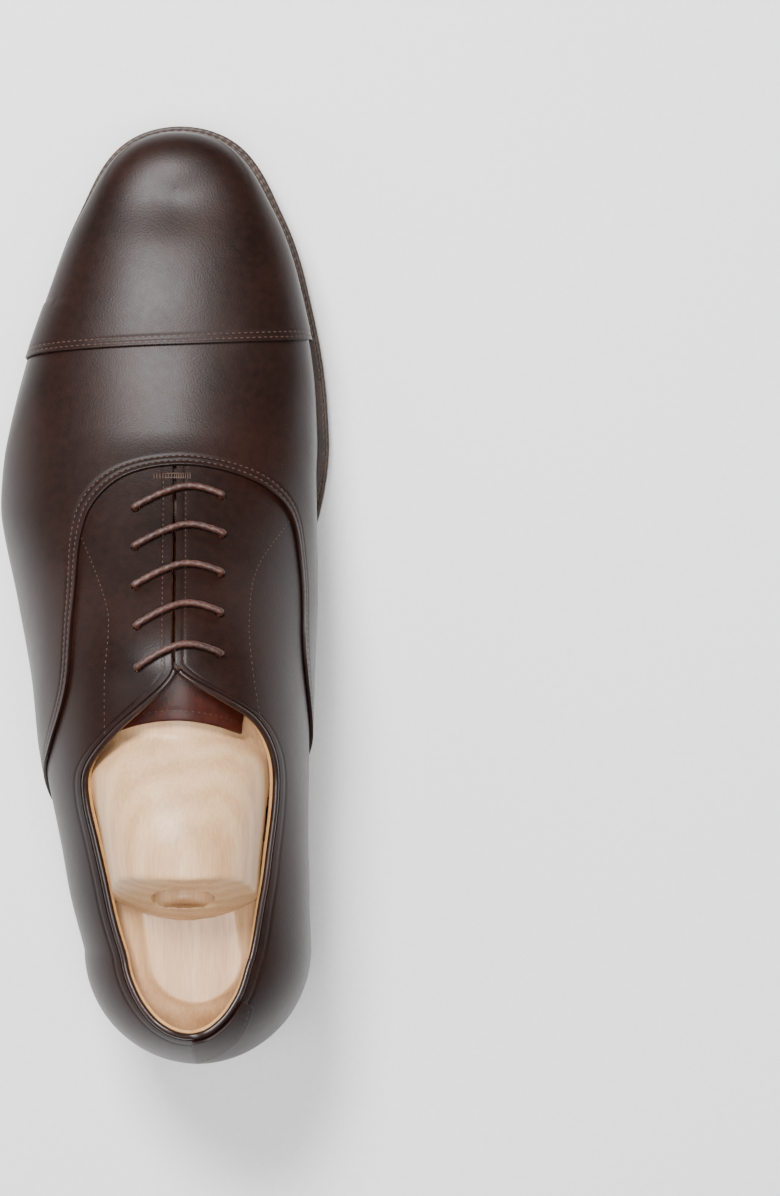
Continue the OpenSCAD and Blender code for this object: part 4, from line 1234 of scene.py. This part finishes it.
    def bar_tack(self) -> bpy.types.Object:
        """Close threads across the front end of the slit, over two long ones."""
        st, rows = self.stitching, []
        for w in np.linspace(-0.06, 0.06, 15):
            u = np.linspace(34.2, 36.9, 12)
            rows.append(st.row(LAST.skin(u, w, 0.42), LAST.normal(u, np.full_like(u, w)), 2.7, 0.5, 1.0))
        for at in (34.9, 36.2):
            w = np.linspace(-0.062, 0.062, 24)
            rows.append(st.row(LAST.skin(at, w, 0.3), LAST.normal(np.full_like(w, at), w), 8.0, 0.5, 1.0))
        return st.piece("bar_tack_threads", rows, THREAD, ["bar_tack"])

    def stay(self) -> bpy.types.Object:
        """A thin leather stay behind the front end of the slit."""
        u = np.repeat(np.linspace(31, 43, 12)[:, None], 12, axis=1)
        w = np.repeat(np.linspace(-0.09, 0.09, 12)[None, :], 12, axis=0)
        p = Panel("slit_stay_leather", u, w, -1.4 + 0 * u, 0.2)
        return Bench.dress(p.obj, [CALF, CALF_EDGE])

    def build(self) -> None:
        """Make every piece of the upper."""
        made = [self.vamp(), self.toe_cap(), *(self.quarter(side) for side in Side), self.tongue(),
                self.back_tab(), self.binding(), self.bar_tack(), self.stay(), *self.linings()]
        for obj in made:
            log.info("made %s", obj.name)
        self.thread_rows()


# --- the lacing -----------------------------------------------------------------------------------


@dataclass
class Lacing:
    """The waxed round lace: bars across the slit, joined by runs under the facings."""

    punched: float = 2.9
    bow: float = 4.5
    strands: int = 6
    hole_lat: tuple[float, ...] = (12.4, 12.2, 11.9, 11.2, 11)
    hole_med: tuple[float, ...] = (14.6, 14.8, 14.3, 14, 13.7)

    @staticmethod
    def hole(side: int, row: float) -> tuple[float, float, float]:
        """Station, plan distance and place across of a lace hole."""
        u = (25 if side < 0 else 29) - row * SIZES.pitch
        r = float(np.interp(row, range(5), Lacing.hole_lat if side < 0 else Lacing.hole_med))
        return u, r, float(LAST.w_at(np.array(u), float(side), r))

    @staticmethod
    def punch(side: Side, row: int) -> bpy.types.Object:
        """Cutter of one punched hole."""
        u, _, w = Lacing.hole(side.value, row)
        return Bench.cylinder(LAST.skin(u, w, 0), LAST.normal(u, w), Lacing.punched / 2, 12, 28)

    def route(self) -> Array:
        """Points that the lace follows, from its hidden end to the other."""
        out, inn = SIZES.lace / 2 + 0.35, -(SIZES.lap + SIZES.lining + SIZES.gap + SIZES.lace / 2)
        aside_by = SIZES.lace / 2 + 0.25

        def bar(row: int, start: int) -> list[Array]:
            a, b = self.hole(start, row), self.hole(-start, row)
            return [LAST.skin(mix(a[0], b[0], s) + self.bow * math.sin(math.pi * s), mix(a[2], b[2], s), out)
                    for s in (0.1, 0.24, 0.37, 0.5, 0.63, 0.76, 0.9)]

        def through(row: int, side: int, down: bool) -> list[Array]:
            u, _, w = self.hole(side, row)
            pts = [LAST.skin(u, w, h) for h in (out, out - 0.5, 0.0, inn + 0.9, inn)]
            return pts if down else pts[::-1]

        def run(a: int, b: int, side: int, aside: int) -> list[Array]:
            pts = []
            for s in (0.16, 0.3, 0.5, 0.7, 0.84):
                (ua, ra, _), (ub, rb, _) = self.hole(side, a), self.hole(side, b)
                u, away = mix(ua, ub, s), aside * min(math.sin(math.pi * s) * 1.6, 1) * aside_by
                pts.append(LAST.skin(u, LAST.w_at(np.array(u), float(side), mix(ra, rb, s) + away), inn))
            return pts

        def tail(row: int, side: int, aside: int) -> list[Array]:
            u, r, _ = self.hole(side, row)
            return [LAST.skin(u + 4 * k, LAST.w_at(np.array(u + 4.0 * k), float(side),
                                                   r + aside * aside_by * min(k / 2, 1)), inn)
                    for k in range(1, 5)]

        parts = (tail(3, -1, 1)[::-1], through(3, -1, False), bar(3, -1), through(3, 1, True),
                 run(1, 3, 1, -1)[::-1], through(1, 1, False), bar(1, 1), through(1, -1, True),
                 run(1, 0, -1, -1), through(0, -1, False), bar(0, -1), through(0, 1, True),
                 run(0, 2, 1, 1), through(2, 1, False), bar(2, 1), through(2, -1, True),
                 run(2, 4, -1, -1), through(4, -1, False), bar(4, -1), through(4, 1, True), tail(4, 1, 1))
        return np.array([p for part in parts for p in part])

    def build(self) -> None:
        """Make the lace."""
        path = smooth_path(self.route(), 0.3)
        r, turns = SIZES.lace / 2, 2 * math.pi / 3.4

        def braid(a: Array, s: Array) -> Array:
            one = np.cos(self.strands / 2 * a + turns * s)
            two = np.cos(self.strands / 2 * a - turns * s)
            return r * (0.93 + 0.07 * np.maximum(one, two))

        obj = Bench.dress(tube("lace_braid", path, braid, 16), [LACE], nodes=["lace"], angle=80)


# --- the bottom -----------------------------------------------------------------------------------


@dataclass
class Bottom:
    """Welt, heel rand, outsole and the stacked heel."""

    stitching: Stitching
    welt_back: float = -66.0
    breast: float = -74.0
    breast_hollow: float = 3.0
    breast_r: float = 180.0
    stitch_pitch: float = 2.5

    @staticmethod
    def loop(n: int = 260) -> tuple[Array, Array]:
        """Stations and sides once round the sole, without a doubled point."""
        u = np.concatenate([steps(LAST.back_at, LAST.heel_at, 34), steps(-114, 92, 120),
                            steps(93.5, LAST.tip_at, 60)])
        return (np.concatenate([u, u[::-1][1:-1]]), np.concatenate([np.full(len(u), -1.0),
                                                                    np.full(len(u) - 2, 1.0)]))

    def edge(self, u: Array, side: Array, inset: float, z: Array) -> Array:
        """Points of a line round the sole at a height."""
        return np.concatenate([LAST.sole_point(u, side, inset), z[:, None]], -1)

    def outsole(self) -> bpy.types.Object:
        """The outsole with its soft edge and the stitch channel underneath."""
        u, side = self.loop()
        y = LAST.place(u)
        low, t = LAST.under(y), SIZES.outsole
        profile = [(10, 0.0), (6.4, 0.0), (5.9, 0.06), (5.5, 0.35), (5.1, 0.06), (4.6, 0.0), (1.2, 0.0),
                   (0.6, 0.12), (0.2, 0.5), (0.0, 1.1), (0.0, t - 0.9), (0.15, t - 0.35), (0.5, t - 0.08),
                   (0.9, t), (9.0, t)]
        rings = np.stack([self.edge(u, side, i, low + z) for i, z in profile])
        n = len(u)
        faces = bands(len(profile), n)
        half = (n + 2) // 2
        for base, flip in ((0, False), ((len(profile) - 1) * n, True)):
            for j in range(half - 1):
                a, b = j, j + 1
                c, d = (n - j - 1) % n if j + 1 < half - 1 else half - 1, (n - j) % n
                quad = list(dict.fromkeys(base + v for v in (a, b, c, d)))
                if len(quad) > 2:
                    faces.append(tuple(quad if flip else quad[::-1]))
        obj = Bench.mesh("outsole_leather", rings.reshape(-1, 3), faces)
        Bench.edit(obj, merge_mm=0.005)
        tread = Bench.read(obj.data.polygons, "normal")[:, 2] < -0.7
        Bench.dress(obj, [SOLE_EDGE, SOLE_FACE], nodes=["outsole"], angle=50)
        obj.data.polygons.foreach_set("material_index", tread.astype(np.int32))
        return obj

    def strip(self, name: str, u: Array, side: Array) -> bpy.types.Object:
        """A strip on the outsole's edge with a wheeled top.

        Args:
            name: name of the piece.
            u: stations along it.
            side: sides along it.

        Returns:
            The object.
        """
        y = LAST.place(u)
        base = LAST.tread(y) + LAST.sole_gap
        t = SIZES.welt - LAST.sole_gap
        mid = LAST.sole_point(u, side, 1.0)
        wheel = 0.16 * np.clip(np.cos(2 * math.pi * run_along(mid) / self.stitch_pitch), -1, 0.2)
        profile = [(0.5, 0.0, 0), (0.12, 0.15, 0), (0.0, 0.6, 0), (0.0, t - 0.75, 0), (0.12, t - 0.3, 0.4),
                   (0.42, t - 0.05, 0.8), (0.8, t, 1), (1.15, t - 0.02, 0.6), (1.5, t - 0.22, 0),
                   (1.95, t - 0.22, 0),
                   (2.4, t, 0), (SIZES.welt_width, t, 0), (SIZES.welt_width, 0.0, 0)]
        rings = np.stack([self.edge(u, side, i, base + z + k * wheel) for i, z, k in profile], axis=1)
        shape = rings.shape[:2]
        obj = Bench.mesh(name, rings.reshape(-1, 3), bands(*shape) + end_faces(*shape))
        Bench.edit(obj, merge_mm=0.002)
        return obj

    def welt(self) -> None:
        """The welt with its stitches, and the heel rand behind it."""
        b, tip, toe = self.welt_back, LAST.tip_at, LAST.toe_at
        u = np.concatenate([steps(b, toe, 330), steps(toe + 0.4, tip, 160), steps(tip - 0.4, toe, 160),
                            steps(toe - 0.5, b, 330)])
        side = np.concatenate([np.full(492, -1.0), np.full(492, 1.0)])
        Bench.dress(self.strip("welt_strip", u, side), [WELT], nodes=["welt"], angle=50)
        ur = np.concatenate([steps(b - 0.2, LAST.back_at, 230), steps(LAST.back_at + 0.4, b - 0.2, 230)])
        sr = np.concatenate([np.full(231, -1.0), np.full(231, 1.0)])
        Bench.dress(self.strip("heel_rand_strip", ur, sr), [WELT], nodes=["heel_rand"], angle=50)
        log.info("made welt_strip and heel_rand_strip")
        y = LAST.place(u)
        path = self.edge(u, side, 1.72, LAST.foot(y) - 0.2)
        up = np.repeat([[0.0, 0.0, 1.0]], len(u), axis=0)
        rows = [self.stitching.row(path, up, self.stitch_pitch, 0.75, 0.84, 0.0)]
        self.stitching.piece("stitches_welt", rows, THREAD_PALE)
        u, side = (np.append(v, v[0]) for v in self.loop())
        path = self.edge(u, side, 5.5, LAST.under(LAST.place(u)) + 0.3)
        path = path[path[:, 1] > self.breast + 4]
        down = np.repeat([[0.0, 0.0, -1.0]], len(path), axis=0)
        rows = [self.stitching.row(path, down, 3.0, 0.6, 0.8, 0.0)]
        self.stitching.piece("stitches_outsole", rows, THREAD_PALE)

    def heel_outline(self, inset: float) -> Array:
        """Plan of one layer of the heel, round from the lateral breast corner."""
        back = np.concatenate([steps(self.breast, LAST.heel_at, 30),
                               steps(LAST.heel_at - 1.5, LAST.back_at, 36)])
        lat, med = LAST.sole_point(back, -1.0, inset), LAST.sole_point(back[::-1][1:], 1.0, inset)
        cx, cy = float(LAST.ridge_x(np.array(self.breast))), self.breast - self.breast_hollow + self.breast_r
        x = np.linspace(med[-1, 0], lat[0, 0], 34)[1:-1]
        y = np.minimum(cy - np.sqrt(self.breast_r**2 - (x - cx) ** 2), self.breast)
        return np.concatenate([lat, med, np.stack([x, y], -1)])

    def heel(self) -> None:
        """Four leather lifts and the rubber top piece, tapered together."""
        lift = (SIZES.heel - SIZES.top_piece) / 4
        levels = [("heel_top_piece", 0.0, SIZES.top_piece)]
        levels += [(f"heel_lift_{i + 1}", SIZES.top_piece + i * lift, SIZES.top_piece + (i + 1) * lift)
                   for i in range(4)]
        for name, low, high in levels:
            soft = 0.28
            zs = [low, low + soft, high - soft - 0.02, high - 0.02]
            rings = []
            for k, z in enumerate(zs):
                inset = 0.3 + SIZES.taper * (1 - z / SIZES.heel) + (soft * 0.8 if k in (0, 3) else 0)
                plan = self.heel_outline(inset)
                rings.append(np.concatenate([plan, np.full((len(plan), 1), z)], -1))
            shape = len(rings), len(rings[0])
            obj = Bench.mesh(name + "_layer", np.concatenate(rings), bands(*shape) + end_faces(*shape))
            Bench.edit(obj, merge_mm=0.002)
            if name == "heel_top_piece":
                spots = [(13.5 + 22 * math.cos(a), LAST.heel_at - 20 * math.sin(a), 1.0)
                         for a in np.radians(range(0, 181, 45))]
                up = np.array([0, 0, 1.0])
                Bench.cut(obj, [Bench.cylinder(np.array(c), up, SIZES.nail / 2 + 0.25, 6, 20) for c in spots])
            Bench.dress(obj, [RUBBER if name == "heel_top_piece" else HEEL], nodes=[name], angle=30)
            log.info("made %s", obj.name)

    def build(self) -> None:
        """Make every piece of the bottom."""
        log.info("made %s", self.outsole().name)
        self.welt()
        self.heel()


# --- the tree -------------------------------------------------------------------------------------


@dataclass
class ShoeTree:
    """The wooden tree: a front block, and a heel block that slides on a sprung rod."""

    upper: Upper
    seat: float = 31.8
    rod_x: float = 10.5
    rod_up: float = 22.0
    back: float = -105.0
    lean: float = 25.0
    rear_round: float = 45.0
    lip: float = -66.0
    nose: float = -80.0
    plate_half: float = 14.5
    plate_drop: float = 7.0
    voxel: float = 0.9
    fine_voxel: float = 0.6
    crest_drop: Curve = field(default_factory=lambda: Curve((-105, 0.5), (-88, 0), (-75, 2), (-60, 9),
                                                            (-48, 17.5)))

    def floor(self, y: Array) -> Array:
        """Height of the tree's underside."""
        return LAST.foot(y) + 2 * LAST.sole_gap + SIZES.insole + SIZES.sock + 0.4

    def out(self, u: Array, w: Array) -> Array:
        """Offset of the wood from the last, deeper under the tongue."""
        zone = ease((0.5 - np.abs(w)) / 0.1) * ease((56 - u) / 8) * ease((u + 60) / 12)
        return (self.upper.lining_out(u, w) - SIZES.lining - SIZES.tree_gap
                - zone * (self.upper.tongue_deep + SIZES.tongue - SIZES.lap - SIZES.lining + 0.2))

    def skin(self, u: Array, w: Array, inset: Array = 0.0) -> Array:
        """Points of the wood's surface inside the shoe, drawn in by inset."""
        u, w = np.broadcast_arrays(np.asarray(u, float), np.asarray(w, float))
        p = LAST.skin(u, w, self.out(u, w) - inset)
        p[..., 2] = np.maximum(p[..., 2], self.floor(LAST.place(u)))
        return p

    def dome(self, u: float, side: float) -> Array:
        """Half of a section of the front block: up the wall, then over to the crest."""
        wt = min(abs(float(LAST.top_w(np.array(u), side))) + 0.02, 0.6)
        a, b = self.skin(u, side * wt, 0.6), self.skin(u, side * (wt + 0.03), 0.6)
        top = LAST.ridge_point(np.array(u))
        c = np.array([top[0], u, self.seat + SIZES.crest - float(self.crest_drop(np.array(u)))])
        rise, reach = unit(unit(a - b) + np.array([0, 0, 1.4])), np.linalg.norm(c - a)
        share = np.linspace(0, 1, 18)
        wall = self.skin(u, side * mix(0.93, wt, share), 0.6 * share**2)
        s = np.linspace(0, 1, 20)[1:-1, None]
        over = hermite(s, reach, a, rise * 1.2, c, np.array([-side * 1.35, 0, 0]))
        return np.concatenate([wall, over, c[None]] if side < 0 else [wall, over])

    def front_section(self, u: float) -> Array:
        """One section of the front block, always of 73 points."""
        if u >= -48:
            return self.skin(u, np.linspace(-0.93, 0.93, 73))
        return np.concatenate([self.dome(u, -1.0), self.dome(u, 1.0)[::-1]])

    @staticmethod
    def block(name: str, rings: Array) -> bpy.types.Object:
        """A closed block from open sections whose ends are joined underneath."""
        shape = rings.shape[:2]
        obj = Bench.mesh(name, rings.reshape(-1, 3), bands(*shape) + end_faces(*shape))
        Bench.edit(obj, merge_mm=0.01)
        return obj

    def sand(self, obj: bpy.types.Object, voxel: float, passes: int) -> None:
        """Turn a cut block into even fine faces and rub its edges soft."""
        Bench.apply(obj, "REMESH", mode="VOXEL", voxel_size=voxel * MM, use_smooth_shade=True)
        Bench.apply(obj, "SMOOTH", factor=0.5, iterations=passes)

    def forepart(self) -> bpy.types.Object:
        """The front block with its scooped rear, lip and finger hole."""
        u = np.concatenate([np.linspace(self.back - 2, -48.5, 44), np.linspace(-47, 92, 90),
                            np.linspace(93, LAST.tip_at - 0.05, 40)])
        obj = self.block("tree_forepart_wood", np.stack([self.front_section(float(k)) for k in u]))
        plate = self.seat + SIZES.plate
        Bench.clear()
        bpy.ops.mesh.primitive_cube_add(size=1, location=(0, (self.lip - 100) * MM, (plate + 0.4 - 60) * MM),
                                        scale=(0.3, 0.2, 0.12))
        room = bpy.context.object
        lean = math.radians(self.lean)
        way = np.array([0, math.sin(lean), math.cos(lean)])
        across = np.array([0, math.cos(lean), -math.sin(lean)])
        foot = np.array([self.rod_x, self.back, plate])
        Bench.clear()
        centre = foot + way * 25 + across * (self.rear_round - 100) / 2
        bpy.ops.mesh.primitive_cube_add(size=1, location=tuple(centre * MM), rotation=(-lean, 0, 0),
                                        scale=(0.2, (100 + self.rear_round) * MM, 0.15))
        behind = bpy.context.object
        barrel = Bench.cylinder(foot + way * 25 + across * self.rear_round, way, self.rear_round, 170, 160)
        Bench.cut(behind, [barrel])
        tilt = math.radians(80)
        ahead = np.array([0, math.sin(tilt), math.cos(tilt)])
        hole = Bench.cylinder(np.array([self.rod_x, self.back + 5, plate + 14]) + 13 * ahead, ahead,
                              SIZES.finger / 2, 26, 48)
        bore = Bench.cylinder(np.array([self.rod_x, -31.0, self.seat + self.rod_up]), FORWARDS, 5.6, 72, 32)
        Bench.cut(obj, [room, behind, hole, bore])
        self.sand(obj, self.voxel, 3)
        return Bench.dress(obj, [BEECH], nodes=["tree_forepart"], angle=60)

    def heel_half(self, u: float, side: float) -> Array:
        """Half of a section of the heel block, up to its plate."""
        z = self.seat + SIZES.plate - self.plate_drop
        ua = np.array(u)
        y = LAST.place(ua)
        zw, zr = LAST.foot(y) + LAST.belly(ua), LAST.foot(y) + LAST.crown(ua)
        rise = math.degrees(math.asin(min(max(float((z - zw) / (zr - zw)), 0.02), 0.99)))
        wb = 0.8 * (1 - rise / 90)
        c, e = LAST.ridge_point(ua), LAST.wide_point(ua, side)
        q = c + unit(e - c) * self.plate_half
        wall = self.skin(u, side * mix(0.93, wb, np.linspace(0, 1, 14)))
        top = self.seat + SIZES.plate
        return np.concatenate([wall, [[*(q + unit(e - c) * 1.2), top - 1]], [[*q, top]]])

    def heel_block(self) -> bpy.types.Object:
        """The heel block with its raised plate."""
        u = np.concatenate([np.linspace(self.nose, LAST.heel_at, 26),
                            np.linspace(-118, LAST.back_at + 0.05, 40)])
        rings = np.stack([np.concatenate([self.heel_half(float(k), -1.0),
                                          self.heel_half(float(k), 1.0)[::-1]]) for k in u])
        obj = self.block("tree_heel_wood", rings)
        bore = Bench.cylinder(np.array([self.rod_x, -85.0, self.seat + self.rod_up]), FORWARDS,
                              SIZES.rod / 2, 30, 32)
        Bench.cut(obj, [bore])
        self.sand(obj, self.fine_voxel, 2)
        return Bench.dress(obj, [BEECH], BLOCK, ["tree_heel"], 60)

    def build(self) -> None:
        """Make both blocks."""
        log.info("made %s", self.forepart().name)
        log.info("made %s", self.heel_block().name)


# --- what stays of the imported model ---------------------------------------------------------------


def dress_packed() -> None:
    """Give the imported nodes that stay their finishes."""
    finishes: dict[str, Finish] = {
        "toe_puff": BOARD, "heel_counter": BOARD, "insole": INSOLE, "sock_lining": LINING,
        "cork_filler": CORK, "shank": STEEL, "heel_nails": NAIL, "tree_guide_tube": BRASS,
        "tree_rod": STEEL, "tree_spring": SPRING,
    }
    for name, finish in finishes.items():
        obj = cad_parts[name]
        if not obj.material_slots:
            obj.data.materials.append(SHELF.get(finish))
        for slot in obj.material_slots:
            slot.material = SHELF.get(finish)


# --- the room -------------------------------------------------------------------------------------


@dataclass
class Studio:
    """Floor, lights and camera."""

    eye: tuple[float, float, float] = (0.07466, -0.00328, 1.2)
    lens: float = 107.9
    lamps: tuple[tuple[tuple[float, float, float], tuple[float, float], float], ...] = (
        ((-0.22, 0.6, 1.05), (0.4, 0.3), 27.0),
        ((0.05, -0.2, 1.6), (0.8, 0.7), 24.0),
        ((-1.3, -0.2, 1.2), (0.6, 0.8), 6.0),
        ((1.3, -0.1, 1.2), (0.6, 0.8), 3.0),
        ((0.1, -1.3, 1.1), (0.8, 0.6), 4.0),
    )

    def floor(self) -> None:
        """A plain pale floor."""
        Bench.clear()
        bpy.ops.mesh.primitive_plane_add(size=8, location=(0, 0, 0))
        obj = bpy.context.object
        obj.name = "floor"
        t = Tree("floor_paper")
        grain = t.noise(2, 2)
        obj.data.materials.append(t.finish(t.ramp(grain, (0.3, (0.86, 0.86, 0.86)), (0.7, (0.9, 0.9, 0.9))),
                                           t.spread(grain, 0.85, 0.95), t.bump(grain, 0.02, 0.1)))

    def light(self) -> None:
        """Large soft lamps and a dim surround."""
        for k, (at, size, watts) in enumerate(self.lamps):
            lamp = bpy.data.lights.new(f"softbox_{k + 1}", "AREA")
            lamp.shape = "RECTANGLE"
            lamp.size, lamp.size_y, lamp.energy = *size, watts
            obj = bpy.data.objects.new(lamp.name, lamp)
            obj.location = at
            obj.rotation_euler = (Vector((0, 0, 0.03)) - Vector(at)).to_track_quat("-Z", "Y").to_euler()
            bpy.context.scene.collection.objects.link(obj)
        world = bpy.data.worlds.new("room")
        world.use_nodes = True
        world.node_tree.nodes["Background"].inputs[0].default_value = (1, 1, 1, 1)
        world.node_tree.nodes["Background"].inputs[1].default_value = 0.14
        bpy.context.scene.world = world

    def camera(self) -> None:
        """The camera, looking straight down."""
        data = bpy.data.cameras.new("eye")
        data.sensor_fit, data.sensor_height, data.sensor_width = "VERTICAL", 36, 36
        data.lens, data.clip_start, data.clip_end = self.lens, 0.01, 20
        obj = bpy.data.objects.new("eye", data)
        obj.location = self.eye
        bpy.context.scene.collection.objects.link(obj)
        bpy.context.scene.camera = obj

    def build(self) -> None:
        """Set up the room."""
        self.camera()
        self.floor()
        self.light()


def main() -> None:
    """Build the room and the shoe, sub-assembly by sub-assembly."""
    logging.basicConfig(level=logging.INFO, format="%(message)s")
    Studio().build()
    stitching = Stitching()
    upper = Upper(stitching)
    Lacing().build()
    upper.build()
    Bottom(stitching).build()
    ShoeTree(upper).build()
    dress_packed()
    Bench.clear()


if __name__ == "__main__":
    main()
